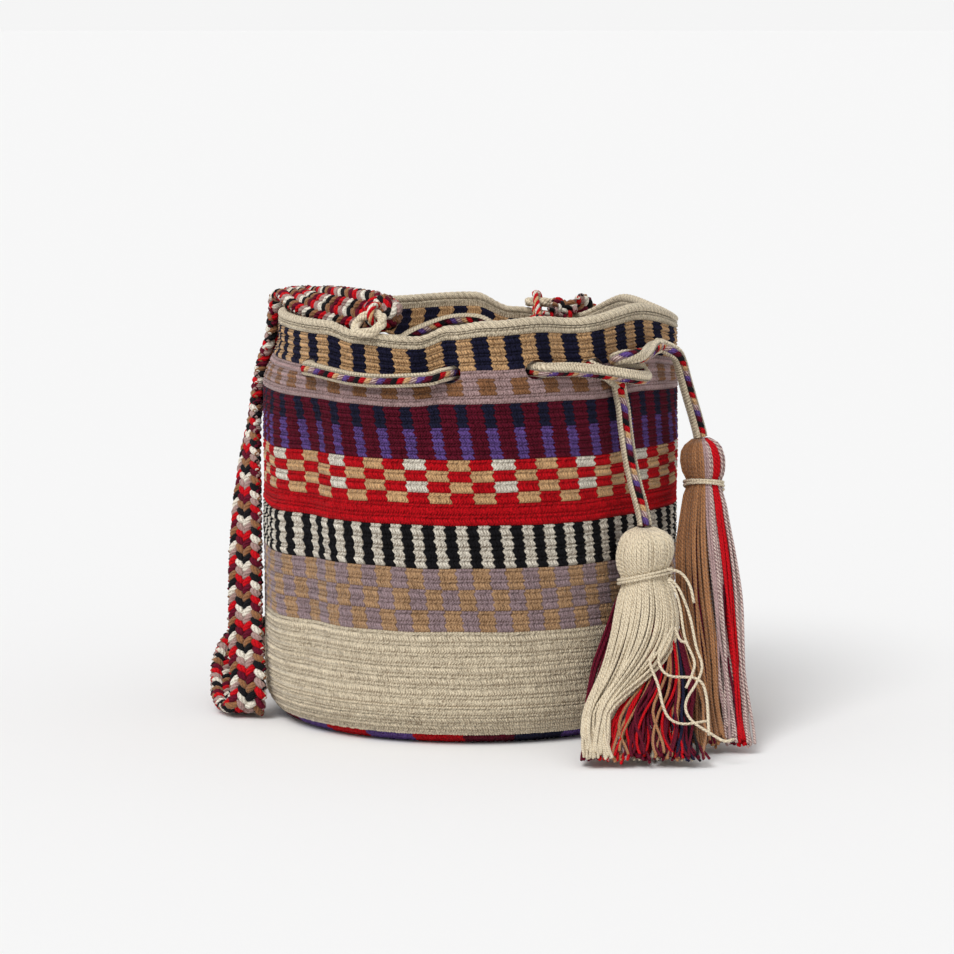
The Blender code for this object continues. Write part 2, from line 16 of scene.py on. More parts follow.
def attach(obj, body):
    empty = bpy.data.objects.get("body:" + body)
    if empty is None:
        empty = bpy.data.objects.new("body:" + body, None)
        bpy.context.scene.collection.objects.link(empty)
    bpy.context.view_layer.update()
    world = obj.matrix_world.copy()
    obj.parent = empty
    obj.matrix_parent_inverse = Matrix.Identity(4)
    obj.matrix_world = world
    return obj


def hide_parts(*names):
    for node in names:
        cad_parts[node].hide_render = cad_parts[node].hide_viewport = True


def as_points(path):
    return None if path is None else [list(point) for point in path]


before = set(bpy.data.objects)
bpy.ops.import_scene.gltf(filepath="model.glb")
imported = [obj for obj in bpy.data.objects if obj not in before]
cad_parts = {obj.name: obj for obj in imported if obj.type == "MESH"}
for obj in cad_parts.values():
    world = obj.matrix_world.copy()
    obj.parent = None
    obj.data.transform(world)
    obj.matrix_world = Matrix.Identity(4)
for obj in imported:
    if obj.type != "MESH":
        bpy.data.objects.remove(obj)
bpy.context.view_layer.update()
chance = np.random.default_rng(8)

# Shape of the wall
BODY_RADIUS = 0.124
BODY_HEIGHT = 0.246
WALL = 0.005
BASE_ROUND_OUT = 0.021
BASE_ROUND_UP = 0.024
# How far the wall leans in towards its rim, by the angle
LEAN = (
    (-90, 0.0095), (-45, 0.006), (-8, 0.003), (30, 0.003),
    (60, 0.001), (90, 0.0), (140, 0.004), (225, 0.007),
)
LEAN_FROM = 0.200
LEAN_FULL = 0.231
# Height of the rim, by the angle
RIM = (
    (-80, 0.2450), (-45, 0.2440), (-35, 0.2395), (-15, 0.2370), (-6, 0.2430), (5, 0.2465),
    (20, 0.2485), (31, 0.2467), (56, 0.2525), (88, 0.2410), (124, 0.2480), (148, 0.2330),
    (166, 0.2370), (178, 0.2460), (205, 0.2440), (250, 0.2440),
)
RIM_WAVE_FROM = 0.165
RIM_WAVE_POWER = 1.5
# Folds: middle and half width in degrees, depth, and the heights where each starts, is full, fades and ends
FOLDS = (
    (-8.0, 7.0, 0.0120, 0.170, 0.236, 0.300, 0.310),
    (27.0, 7.0, 0.0050, 0.185, 0.236, 0.300, 0.310),
    (-50.0, 7.0, 0.0045, 0.020, 0.070, 0.170, 0.215),
    (-64.0, 9.0, -0.0025, 0.020, 0.070, 0.170, 0.215),
    (55.0, 14.0, 0.0035, 0.050, 0.120, 0.300, 0.310),
    (80.0, 14.0, -0.0020, 0.050, 0.120, 0.300, 0.310),
    (-122.0, 10.0, 0.0040, 0.150, 0.225, 0.300, 0.310),
    (112.0, 12.0, 0.0040, 0.130, 0.220, 0.300, 0.310),
    (172.5, 8.0, 0.0065, 0.150, 0.230, 0.300, 0.310),
)

# Yarn colours as they look in plain light, in sRGB
YARNS = {
    "cream": (219, 205, 178), "off_white": (226, 219, 204),
    "tan": (208, 166, 118), "camel": (166, 116, 76),
    "red": (176, 3, 17), "maroon": (86, 8, 31),
    "purple": (90, 66, 128), "navy": (24, 24, 48),
    "black": (15, 14, 18), "mauve": (172, 143, 142),
    "rose": (164, 134, 128), "sand": (178, 141, 103),
    "heather": (153, 131, 135), "brown": (142, 97, 62),
    "marl": (206, 186, 176),
}
# Yarns whose second ply has a colour of its own
SECOND_PLY = {"marl": (118, 78, 84)}
DARK_YARNS = ("maroon", "purple", "navy", "black", "red")
# The lit side of a yarn as a share of its colour, plus a little for its fibres, and the dark side's shares
# of red, green and blue
LIGHT_SHARE = 1.18
DARK_LIGHT_SHARE = 1.45
LIGHT_FIBRES = 0.003
DARK_SHARE = (0.36, 0.31, 0.27)
YARN_ROUGHNESS = 0.88
# For the paler dyes and for the dark ones
SPECULAR = (0.25, 0.12)
SHEEN = (0.20, 0.02)
SHEEN_ROUGHNESS = 0.45
# Noises over the yarn, as scale and detail: stains, and single fibres
NOISES = ((90.0, 2.0), (1300.0, 3.0))
# How much each of these darkens the yarn: painted shade between its plies, the second ply of one that has a
# colour of its own, painted shade in the grooves between yarns, stains and fibres
PAINTED_PLY_SHADE = 0.42
SECOND_SHADE = 0.9
PAINTED_GROOVE_SHADE = 0.80
STAIN_SHADE = 0.45
GRAIN = 2.1
# Height of the fibres as a share of the plies', and of the whole bump
FIBRE_BUMP = 1.2
BUMP_DISTANCE = 0.00035

# Camera
CAMERA_DISTANCE = 2.285
CAMERA_HEIGHT = 0.426
FOCAL_PX = 3808.0
FRAME_PX = 954.0
AXIS_PX = 469.0
HORIZON_PX = 4.0
SENSOR_MM = 36.0


def ease(low, high, value):
    """0 up to low and 1 from high, with a smooth rise between."""
    share = np.clip((value - low) / (high - low), 0.0, 1.0)
    return share * share * (3 - 2 * share)


def round_the_bag(table, angle):
    """The value at an angle of a table of (angle, value) that goes once round the bag, with eased steps."""
    start = table[0][0]
    angles = np.array([a for a, _ in table] + [start + 360.0])
    values = np.array([v for _, v in table] + [table[0][1]])
    angle = (np.asarray(angle) - start) % 360 + start
    k = np.clip(np.searchsorted(angles, angle, side="right") - 1, 0, len(table) - 1)
    share = (angle - angles[k]) / (angles[k + 1] - angles[k])
    return values[k] + (values[k + 1] - values[k]) * share * share * (3 - 2 * share)


def wall_radius(angle, height):
    """Distance of the row crests from the bag's axis."""
    radius = BODY_RADIUS - round_the_bag(LEAN, angle) * ease(LEAN_FROM, LEAN_FULL, height)
    for middle, half, depth, start, full, fade, end in FOLDS:
        away = (angle - middle + 180) % 360 - 180
        grown = ease(start, full, height) * (1 - ease(fade, end, height))
        radius = radius - depth * np.exp(-((away / half) ** 2)) * grown
    return radius


def wave(angle, height):
    """How far the wall stands above or below its undisturbed height."""
    share = np.maximum((height - RIM_WAVE_FROM) / (BODY_HEIGHT - RIM_WAVE_FROM), 0.0)
    return (round_the_bag(RIM, angle) - BODY_HEIGHT) * share**RIM_WAVE_POWER


def on_profile(angle, radius, height):
    """Points of the bag at a radius and height of its undisturbed section."""
    angle, radius, height = np.broadcast_arrays(angle, radius, height)
    settled = ease(0.0, BASE_ROUND_UP, height)
    out = radius + (wall_radius(angle, height) - BODY_RADIUS) * settled
    turn = np.radians(angle)
    return np.stack([out * np.sin(turn), -out * np.cos(turn), height + wave(angle, height)], axis=-1)


def on_wall(angle, height, lift):
    """Points of the wall at a lift."""
    return on_profile(angle, BODY_RADIUS + lift, height)


def smooth_curve(points, steps=24):
    """Close points along the smooth curve through the given points."""
    points = np.asarray(points, float)
    ends = np.concatenate([[2 * points[0] - points[1]], points, [2 * points[-1] - points[-2]]])
    before, a, b, after = ends[:-3, None], ends[1:-2, None], ends[2:-1, None], ends[3:, None]
    t = (np.arange(steps) / steps)[None, :, None]
    fine = 0.5 * (2 * a + (b - before) * t + (2 * before - 5 * a + 4 * b - after) * t**2
                  + (3 * a - before - 3 * b + after) * t**3)
    return np.concatenate([fine.reshape(-1, points.shape[1]), points[-1:]])


def lengths(points):
    """Distance gone at each point of a line."""
    return np.concatenate([[0.0], np.cumsum(np.linalg.norm(np.diff(points[:, :3], axis=0), axis=1))])


def at_distance(wanted, gone, values):
    """A line's values at wanted distances along it, where gone is the distance at each of its points."""
    return np.stack([np.interp(wanted, gone, column) for column in values.T], axis=-1)


def spaced(points, step):
    """A line's points at even distances, about step apart."""
    gone = lengths(points)
    return at_distance(np.linspace(0, gone[-1], max(int(round(gone[-1] / step)), 2) + 1), gone, points)


def unit(vectors):
    return vectors / np.maximum(np.linalg.norm(vectors, axis=-1, keepdims=True), 1e-12)


def add_object(name, data):
    """A new object of the scene."""
    made = bpy.data.objects.new(name, data)
    bpy.context.scene.collection.objects.link(made)
    return made


def set_inputs(node, values):
    """Give a node's inputs their values, by name."""
    for name, value in values.items():
        node.inputs[name].default_value = value


def add_math(tree, operation, a, b):
    """The output of a new math node, whose inputs are numbers or other nodes' outputs."""
    node = tree.nodes.new("ShaderNodeMath")
    node.operation = operation
    for socket, value in zip(node.inputs, (a, b)):
        if isinstance(value, bpy.types.NodeSocket):
            tree.links.new(value, socket)
        else:
            socket.default_value = value
    return node.outputs[0]


def yarn_material(name, colour, second, deep):
    """Cotton yarn: two twisted plies and fibres, with painted shade between the plies and between yarns.

    The meshes give the twist's phase as their UV's first value, and how far out a point lies as "crest".
    deep is true for the dark dyes, which shine less and whose lit side stands out more.
    """
    made = bpy.data.materials.new(name)
    made.use_nodes = True
    nodes, links = made.node_tree.nodes, made.node_tree.links
    shader = nodes["Principled BSDF"]
    set_inputs(shader, {"Roughness": YARN_ROUGHNESS, "Specular IOR Level": SPECULAR[deep],
                        "Sheen Weight": SHEEN[deep], "Sheen Roughness": SHEEN_ROUGHNESS})
    maths = partial(add_math, made.node_tree)
    place = nodes.new("ShaderNodeTexCoord")
    noises = []
    for scale, detail in NOISES:
        noise = nodes.new("ShaderNodeTexNoise")
        set_inputs(noise, {"Scale": scale, "Detail": detail})
        links.new(place.outputs["Object"], noise.inputs["Vector"])
        noises.append(noise.outputs["Fac"])
    split = nodes.new("ShaderNodeSeparateXYZ")
    links.new(place.outputs["UV"], split.inputs["Vector"])
    swing = maths("SINE", maths("MULTIPLY", split.outputs["X"], math.tau), 0.0)
    ply = maths("ADD", maths("MULTIPLY", swing, 0.5), 0.5)
    crest = nodes.new("ShaderNodeAttribute")
    crest.attribute_name = "crest"
    # Painted shade between the twisted plies; for a marled yarn, its second ply's own colour instead
    shade = maths("MULTIPLY", maths("SUBTRACT", 1.0, ply), SECOND_SHADE if second else PAINTED_PLY_SHADE)
    # Painted shade: the lower a point's crest, the darker it is, in the grooves between rows, stitches and
    # yarns
    groove_shade_mask = maths("SUBTRACT", 1.0, crest.outputs["Fac"])
    shade = maths("ADD", shade, maths("MULTIPLY", groove_shade_mask, PAINTED_GROOVE_SHADE))
    for noise, share in zip(noises, (STAIN_SHADE, GRAIN)):
        shade = maths("ADD", shade, maths("MULTIPLY", maths("SUBTRACT", noise, 0.5), share))
    clamp = nodes.new("ShaderNodeClamp")
    links.new(shade, clamp.inputs["Value"])
    mix = nodes.new("ShaderNodeMix")
    mix.data_type = "RGBA"
    links.new(clamp.outputs[0], mix.inputs["Factor"])
    share = DARK_LIGHT_SHARE if deep else LIGHT_SHARE
    light = [min(c * share + LIGHT_FIBRES, 1.0) for c in colour]
    dark = second or [c * share for c, share in zip(colour, DARK_SHARE)]
    set_inputs(mix, {"A": (*light, 1), "B": (*dark, 1)})
    links.new(mix.outputs["Result"], shader.inputs["Base Color"])
    bump = nodes.new("ShaderNodeBump")
    set_inputs(bump, {"Strength": 1.0, "Distance": BUMP_DISTANCE})
    links.new(maths("ADD", ply, maths("MULTIPLY", noises[1], FIBRE_BUMP)), bump.inputs["Height"])
    links.new(bump.outputs["Normal"], shader.inputs["Normal"])
    made.diffuse_color = (*colour, 1)
    return made


def linear(rgb):
    """A colour from sRGB, 0 to 255, to linear light."""
    return tuple(c / 255 / 12.92 if c < 10 else ((c / 255 + 0.055) / 1.055) ** 2.4 for c in rgb)


def make_yarn(name):
    second = linear(SECOND_PLY[name]) if name in SECOND_PLY else None
    return yarn_material(f"yarn_{name}", linear(YARNS[name]), second, name in DARK_YARNS)


YARN_NAMES = tuple(YARNS)
YARN_MATERIALS = {name: make_yarn(name) for name in YARN_NAMES}
CODE = {name: n for n, name in enumerate(YARN_NAMES)}


def ring_quads(rings, columns):
    """Quads between rings of points, each of them closed on itself."""
    i, j = np.meshgrid(np.arange(rings - 1), np.arange(columns), indexing="ij")
    k = (j + 1) % columns
    return np.stack([i * columns + j, i * columns + k, (i + 1) * columns + k, (i + 1) * columns + j], -1)


def at_corners(phase):
    """The phase at each quad's corners. The last two axes are rings and columns."""
    first, last = phase[..., :-1, :], phase[..., 1:, :]
    return np.stack([first[..., :-1], first[..., 1:], last[..., 1:], last[..., :-1]], -1)


class Cloth:
    """Grids of quads gathered into one mesh, each quad with a yarn colour."""

    def __init__(self):
        self.points, self.quads, self.phases, self.crests, self.colours = [], [], [], [], []
        self.count = 0

    def grid(self, points, crest, phase, colour, keep=None, flip=False):
        """A closed ring of columns: points is (levels, columns, 3), and phase has one column more."""
        levels, columns = points.shape[:2]
        quads = ring_quads(levels, columns)
        phases = at_corners(np.broadcast_to(phase, (levels, columns + 1)))
        colour = np.broadcast_to(colour, (levels - 1, columns))
        if flip:
            quads, phases = quads[..., ::-1], phases[..., ::-1]
        if keep is not None:
            quads, phases, colour = quads[keep], phases[keep], colour[keep]
        self.add(points.reshape(-1, 3), np.broadcast_to(crest, (levels, columns)).ravel(),
                 quads.reshape(-1, 4), phases.reshape(-1, 4), colour.ravel())

    def add(self, points, crests, quads, phases, colours):
        self.points.append(points)
        self.crests.append(crests)
        self.quads.append(quads + self.count)
        self.phases.append(phases)
        self.colours.append(colours)
        self.count += len(points)

    def tubes(self, lines, radius, sides, phase, colours, shape=1.0, frames=None, crest=1.0):
        """Capped tubes along lines (count, rings, 3). Sizes and crests are (count, rings, sides) or less."""
        count, rings = lines.shape[:2]
        normal, side = frames if frames else carried_frames(lines)
        turn = np.arange(sides) * math.tau / sides
        size = np.broadcast_to(radius * shape, (count, rings, sides))[..., None]
        ring = (lines[:, :, None] + size * (normal[:, :, None] * np.cos(turn)[:, None]
                                            + side[:, :, None] * np.sin(turn)[:, None]))
        colours = np.broadcast_to(colours, (count, rings - 1, sides))
        cap = np.array([(0, n, n + 1, n + 2) for n in range(1, sides - 1, 2)])
        quads = ring_quads(rings, sides).reshape(-1, 4)
        quads = np.concatenate([quads, cap[:, ::-1], cap + (rings - 1) * sides])
        used = ring.reshape(count, rings * sides, 3)
        start = (np.arange(count) * rings * sides)[:, None, None]
        phases = at_corners(np.broadcast_to(phase, (count, rings, sides + 1))).reshape(count, -1, 4)
        phases = np.concatenate([phases, np.zeros((count, 2 * len(cap), 4))], 1)
        tips = [np.repeat(colours[:, end, :1], len(cap), 1) for end in (0, -1)]
        colours = np.concatenate([colours.reshape(count, -1), *tips], 1)
        crest = np.broadcast_to(crest, (count, rings, sides))
        self.add(used.reshape(-1, 3), np.clip(crest.ravel(), 0, 1), (quads[None] + start).reshape(-1, 4),
                 phases.reshape(-1, 4), colours.ravel())

    def piece(self, name, slot, *nodes):
        """The mesh as a piece that stands for the given CAD nodes."""
        points, quads = np.concatenate(self.points), np.concatenate(self.quads)
        used, index = np.unique(quads, return_inverse=True)
        points, quads = points[used], index.reshape(quads.shape)
        crests = np.concatenate(self.crests)[used]
        colours = np.concatenate(self.colours)
        mesh = bpy.data.meshes.new(name)
        mesh.vertices.add(len(points))
        mesh.vertices.foreach_set("co", points.astype(np.float32).ravel())
        mesh.loops.add(quads.size)
        mesh.loops.foreach_set("vertex_index", quads.astype(np.int32).ravel())
        mesh.polygons.add(len(quads))
        mesh.polygons.foreach_set("loop_start", np.arange(0, quads.size, 4, dtype=np.int32))
        mesh.polygons.foreach_set("loop_total", np.full(len(quads), 4, np.int32))
        shown, which = np.unique(colours, return_inverse=True)
        for code in shown:
            mesh.materials.append(YARN_MATERIALS[YARN_NAMES[code]])
        mesh.polygons.foreach_set("material_index", which.astype(np.int32).ravel())
        mesh.polygons.foreach_set("use_smooth", np.ones(len(quads), bool))
        uv = np.zeros((quads.size, 2), np.float32)
        uv[:, 0] = np.concatenate(self.phases).ravel()
        mesh.uv_layers.new(name="twist").data.foreach_set("uv", uv.ravel())
        mesh.attributes.new("crest", "FLOAT", "POINT").data.foreach_set("value", crests.astype(np.float32))
        mesh.update(calc_edges=True)
        made = add_object(name, mesh)
        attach(made, "root")
        if nodes:
            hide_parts(*nodes)
        return made


def carried_frames(lines, reference=None, pull=0.0):
    """Two directions across each line at each point, carried without twist, or turned to a reference."""
    heading = unit(np.gradient(lines, axis=1))
    first = np.where(np.abs(heading[:, 0, 2:]) < 0.9, (0.0, 0.0, 1.0), (1.0, 0.0, 0.0))
    if reference is not None:
        first = reference[:, 0]
    normals = []
    for n in range(lines.shape[1]):
        along = heading[:, n]
        if reference is not None:
            wanted = reference[:, n] - along * np.sum(reference[:, n] * along, -1, keepdims=True)
            first = first + wanted * pull
        first = unit(first - along * np.sum(first * along, -1, keepdims=True))
        normals.append(first)
    normal = np.stack(normals, 1)
    return normal, np.cross(heading, normal)


def make_camera():
    """The photograph's view. It is made before the pieces, which at_pixel places by it."""
    data = bpy.data.cameras.new("camera")
    data.sensor_width = SENSOR_MM
    data.lens = FOCAL_PX / FRAME_PX * SENSOR_MM
    camera = add_object("camera", data)
    camera.location = (0, -CAMERA_DISTANCE, CAMERA_HEIGHT)
    down = math.atan((FRAME_PX / 2 - HORIZON_PX) / FOCAL_PX)
    right = math.atan((FRAME_PX / 2 - AXIS_PX) / FOCAL_PX)
    camera.rotation_euler = (math.radians(90) - down, 0, -right)
    bpy.context.scene.camera = camera
    bpy.context.view_layer.update()
    return camera


camera = make_camera()


def at_pixel(x, y, front):
    """The point that shows at a pixel of the photograph and lies a distance in front of the bag's axis."""
    across, up = (x - FRAME_PX / 2) / FOCAL_PX, (FRAME_PX / 2 - y) / FOCAL_PX
    ray = camera.matrix_world.to_3x3() @ Vector((across, up, -1))
    return np.array(camera.location + ray * ((CAMERA_DISTANCE - front) / ray.y))


# Drawstring: its route, as in the bag's own source
CORD_RADIUS = 0.0042
CLEARANCE = 0.0009
OUTSIDE = CORD_RADIUS + CLEARANCE
INSIDE = -(WALL + CORD_RADIUS + CLEARANCE)
EYELET_HEIGHT = 0.217
EYELET_ANGLES = (36.5, 108.0, 140.0, 208.0, 242.0, 309.0, 354.0, 379.0)
EYELET_HALF_WIDTH = 0.0078
EYELET_SLACK = 0.0013
EYELET_SIDES = 24
EYELET_EDGE = 0.0009
EYELET_SWING = 0.0006
PLEAT_EYELET = 354.0
PLEAT_SWING = 0.0034
# Through an eyelet: (degrees from its middle, share of the way through)
EYELET_STEPS = ((-5.6, 0.0), (-2.3, 0.08), (-0.5, 0.36), (0.5, 0.64), (2.3, 0.92), (5.6, 1.0))
SEAT_GAP = 0.0005
TAIL_LEAD = 0.004
TAIL_SUNK = 0.0015
# The cord between one eyelet and the next: (angle, height)
CORD_RUNS = (
    ((46, 0.2160), (60, 0.2145), (75, 0.2140), (92, 0.2155)), ((118, 0.2165), (130, 0.2165)),
    ((152, 0.2190), (163, 0.2240), (170, 0.2268), (177, 0.2286), (187, 0.2280), (198, 0.2215)),
    ((217, 0.2160), (225, 0.2155), (233, 0.2160)),
    ((254, 0.2160), (270, 0.2145), (286, 0.2145), (299, 0.2160)),
    ((318, 0.2165), (328, 0.2158), (337, 0.2161)), ((366, 0.2165),),
)
# The half knot at the front right, at the cord's start and at its end: (angle, height, lift)
KNOT_RIGHT_END = (
    (42.9, 0.2040, 0.0054), (42.6, 0.2068, 0.0054), (41.2, 0.2095, 0.0053), (39.2, 0.2126, 0.0050),
)
KNOT_LEFT_END = (
    (388, 0.2175, 0.0062), (393, 0.2165, 0.0090), (397.5, 0.2145, 0.0125), (402, 0.2120, 0.0144),
    (406.5, 0.2098, 0.0146), (410.4, 0.2090, 0.0118), (412.2, 0.2108, 0.0072),
    (411.0, 0.2145, 0.0052), (407.5, 0.2176, 0.0050), (403.6, 0.2196, 0.0054),
    (401.2, 0.2212, 0.0084), (402.0, 0.2224, 0.0130), (405.8, 0.2216, 0.0152),
    (411.0, 0.2216, 0.0128), (416.0, 0.2226, 0.0090), (420.0, 0.2234, 0.0070),
)
TAIL_FRONT = (
    (0.0890, -0.0950, 0.1940), (0.0903, -0.0946, 0.1830), (0.0930, -0.0944, 0.1650),
    (0.0962, -0.0958, 0.1500), (0.0992, -0.0985, 0.1390), (0.1012, -0.1005, 0.1300),
    (0.1016, -0.1008, 0.1264),
)
TAIL_RIGHT = (
    (0.1208, -0.0553, 0.2228), (0.1243, -0.0510, 0.2165), (0.1266, -0.0480, 0.2085),
    (0.1305, -0.0462, 0.1950), (0.1340, -0.0452, 0.1835), (0.1362, -0.0448, 0.1755),
    (0.1370, -0.0447, 0.1716),
)

# The cord's braid: wales of slanted stitches round it, two of them with long coloured ones
WALES = 6
WALE_SAMPLES = 4
CORD_STITCH = 0.0018
COLOURED_STITCH = 0.0037
CORD_STEP = 0.0006
CORD_DEEP = 0.80
CORD_PROUD = 1.05
COLOURED_SLANT = 0.7
CREAM_SLANT = 0.9
SWELL_LEAST = 0.25
BULGE_LEAST = 0.40
OUTWARD_FROM = 0.02
OUTWARD_PULL = 0.06
COLOURED_WALES = (0, 3)
COLOURED_ORDER = ("red", "tan", "marl", "purple", "maroon", "black")
# How far the coloured wale is turned from straight out of the bag: (share of the cord's length, degrees)
LACING_TURNS = ((0.0, 0.0), (0.80, 0.0), (0.845, 50.0), (0.93, 62.0), (0.96, 20.0), (1.0, -10.0))
TAIL_TURNS = {"front": ((0.0, 24.0), (1.0, 30.0)), "right": ((0.0, 20.0), (1.0, 34.0))}


def through_eyelet(angle, outwards):
    """The cord's points where it passes through the wall at an eyelet."""
    swing = PLEAT_SWING if angle == PLEAT_EYELET else EYELET_SWING
    start, end = (INSIDE - swing, OUTSIDE + swing) if outwards else (OUTSIDE + swing, INSIDE - swing)
    return [(angle + away, EYELET_HEIGHT, start + (end - start) * share) for away, share in EYELET_STEPS]


def drawstring_route():
    """From the front tail's start in the knot, in and out of the eyelets, and into the knot again."""
    route = list(KNOT_RIGHT_END)
    outwards = False
    for angle, run in zip(EYELET_ANGLES, CORD_RUNS + ((),)):
        crossing = through_eyelet(angle, outwards)
        route += crossing[2:] if angle == EYELET_ANGLES[0] else crossing
        outwards = not outwards
        side = INSIDE if outwards else OUTSIDE
        route += [(place, height, side) for place, height in run]
    route.pop()
    return np.array([on_wall(*place) for place in route + list(KNOT_LEFT_END)])


def braided_cord(name, line, turns, *nodes):
    """The cord along a line: each wale is a column of slanted stitches, bulged, with its grooves deep."""
    line = spaced(line, CORD_STEP)
    gone = lengths(line)[:, None]
    outward = unit(np.stack([line[:, 0], line[:, 1] - OUTWARD_FROM, np.zeros(len(line))], 1))
    normal, side = carried_frames(line[None], outward[None], pull=OUTWARD_PULL)
    turn = np.radians(np.interp(gone[:, 0] / gone[-1], *np.array(turns).T))
    turn = (turn - math.pi / WALES)[None, :, None]
    frames = (normal * np.cos(turn) + side * np.sin(turn), side * np.cos(turn) - normal * np.sin(turn))
    sides = WALES * WALE_SAMPLES
    column = np.arange(sides + 1)[None, :]
    wale, across = column // WALE_SAMPLES, (column % WALE_SAMPLES) / WALE_SAMPLES
    slant = np.where(wale % 2 == 0, 1.0, -1.0) * (across - 0.5)
    coloured = np.isin(wale % WALES, COLOURED_WALES)
    stitch = np.where(coloured, gone / COLOURED_STITCH + slant * COLOURED_SLANT,
                      gone / CORD_STITCH + slant * CREAM_SLANT)
    swell = np.abs(np.sin(math.pi * stitch)) ** 0.7
    round_off = np.sin(math.pi * (across + 0.5 / WALE_SAMPLES)) ** 0.8
    bulge = (SWELL_LEAST + (1 - SWELL_LEAST) * swell) * (BULGE_LEAST + (1 - BULGE_LEAST) * round_off)
    order = np.array([CODE[c] for c in COLOURED_ORDER])
    step = np.floor(stitch[:-1, :-1]).astype(int) % len(order)
    colours = np.where(coloured[:, :-1], order[step], CODE["cream"])
    shape = CORD_DEEP + (CORD_PROUD - CORD_DEEP) * bulge
    phase = np.where(coloured, across * 3 + gone / 0.004, stitch)
    cloth = Cloth()
    # The bulge is the crest: the material paints shade in the grooves between the braid's stitches
    cloth.tubes(line[None], CORD_RADIUS, sides, phase[None], colours[None], shape[None, :, :-1], frames,
                bulge[None, :, :-1])
    return cloth.piece(name, "drawstring_cord", *nodes), line


lacing = smooth_curve(drawstring_route())
braided_cord("drawstring_braid", lacing, LACING_TURNS, "drawstring")
for side, end, table in (("front", lacing[:2], TAIL_FRONT), ("right", lacing[:-3:-1], TAIL_RIGHT)):
    heading = unit(end[0] - end[1])
    start = end[0] + heading * SEAT_GAP
    route = smooth_curve(np.concatenate([[start, start + heading * TAIL_LEAD], table]))
    node = f"drawstring_tail_{side}"
    shown = np.concatenate([[end[0] - heading * TAIL_SUNK], route])
    tail, line = braided_cord(f"tail_{side}_braid", shown, TAIL_TURNS[side], node)
    float(lengths(route)[-1])
    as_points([tuple(p) for p in line[::4]] + [tuple(line[-1])])

# Crochet of the body
STITCHES = 240
STITCH_SAMPLES = 4
DRIFT = 0.25
# Down one row of stitches: (share of the row, sideways shift in stitches, relief in mm at 4 places across)
ROW_SHAPE = (
    (0.00, 0.00, (-1.60, -1.30, -1.45, -1.35)), (0.15, 0.25, (-0.75, 0.10, 0.05, -0.30)),
    (0.31, -0.08, (-1.55, -0.75, -1.00, -0.85)), (0.45, -0.24, (-1.00, -0.05, -0.60, -0.05)),
    (0.77, 0.16, (-1.00, 0.05, -0.55, 0.05)),
)
DEEPEST = 1.6
HIGHEST = 0.0002
UNEVEN_RELIEF = 0.00016
UNEVEN_STITCH = 0.07
PLAIN_SHAPE = ROW_SHAPE[:2] + ROW_SHAPE[3:4]
FLAT_SHAPE = ROW_SHAPE[:1] + ROW_SHAPE[3:4]
INNER_RELIEF = 0.8
# How deep the rows are in the bands of smoother crochet
SOFT_BANDS = {"mauve_brown": 0.75, "maroon": 0.8, "red": 0.8, "mauve_tan": 0.75, "cream": 0.7}
# The wall's bands from the top down: name, rows, height of the lower edge
BANDS = (
    ("rim_row", 1, 0.2372), ("navy_tan", 4, 0.2183), ("mauve_brown", 4, 0.1993),
    ("maroon", 7, 0.1672), ("red", 6, 0.1292), ("black_white", 4, 0.1042), ("mauve_tan", 6, 0.0672),
    ("cream", 7, BASE_ROUND_UP),
)
RIM_ROW_TOP = 0.2418
CORNER_ROWS = 7
CORNER_CREAM_ROWS = 4
BASE_ROWS = 17
BASE_LIFT = 0.0003
BASE_MIDDLE = 0.0005
FLAT_RADIUS = BODY_RADIUS - BASE_ROUND_OUT
# The base's coloured wedges, in degrees: width, where they begin, and how far they turn with each round
WEDGE = 15.0
WEDGE_FROM = -62.0
WEDGE_TURN = 5.0
WEDGE_ORDER = ("purple", "red", "purple", "red", "maroon", "navy", "purple", "maroon")
# The rolled rim: its section's radius, its grooves, how far it stands up, and its first and last angle
ROLL_RADIUS = 0.0027
ROLL_GROOVE = 0.00045
ROLL_PROUD = 0.0002
ROLL_FROM = -35
ROLL_TO = 222
ROLL_RINGS = 15


def band_colour(band, row, stitch):
    """The yarn of each stitch (counted round the bag) in one row of a band."""
    def pick(condition, yes, no):
        return np.where(condition, CODE[yes], CODE[no])

    if band == "navy_tan":
        return pick(stitch % 6 < 3, "navy", "tan")
    if band == "mauve_brown":
        return pick((stitch % 6 < 3) & (row in (1, 2)), "brown", "mauve")
    if band == "maroon":
        return pick(stitch % 5 < 2, "navy" if row < 3 else "purple", "maroon")
    if band == "red":
        check = (stitch // 4) % 4
        if row in (0, 2):
            return np.where(check == 0, CODE["off_white"], pick(check == 2, "tan", "red"))
        return pick((check % 2 == 1) & (row < 4), "tan", "red")
    if band == "black_white":
        return pick(stitch % 4 < 2, "off_white", "black")
    if band == "mauve_tan":
        return pick(((stitch // 3) + row // 2) % 2 == 0, "sand", "heather")
    return np.full(stitch.shape, CODE["cream"])


def base_colour(angle):
    """The yarn of the base at each angle."""
    wedge = np.floor(((angle - WEDGE_FROM) % 360) / WEDGE).astype(int) % len(WEDGE_ORDER)
    return np.array([CODE[c] for c in WEDGE_ORDER])[wedge]


# Unevenness of the rows' heights and of the surface: waves as (number round the bag, radians a metre up)
SWAY_WAVES = ((3, 60.0), (7, 110.0), (11, -40.0), (17, 160.0))
SURFACE_WAVES = ((5, 90.0), (9, -50.0), (15, 130.0), (23, 70.0))
SWAY = 0.0005
SURFACE_SWAY = 0.0006


def slow_noise(angle, height, waves, size):
    """Smooth unevenness over the cloth, the same for every piece of it."""
    total = 0.0
    for around, along in waves:
        total = total + np.sin(np.radians(angle) * around + height * along + around)
    return total * size / len(waves)


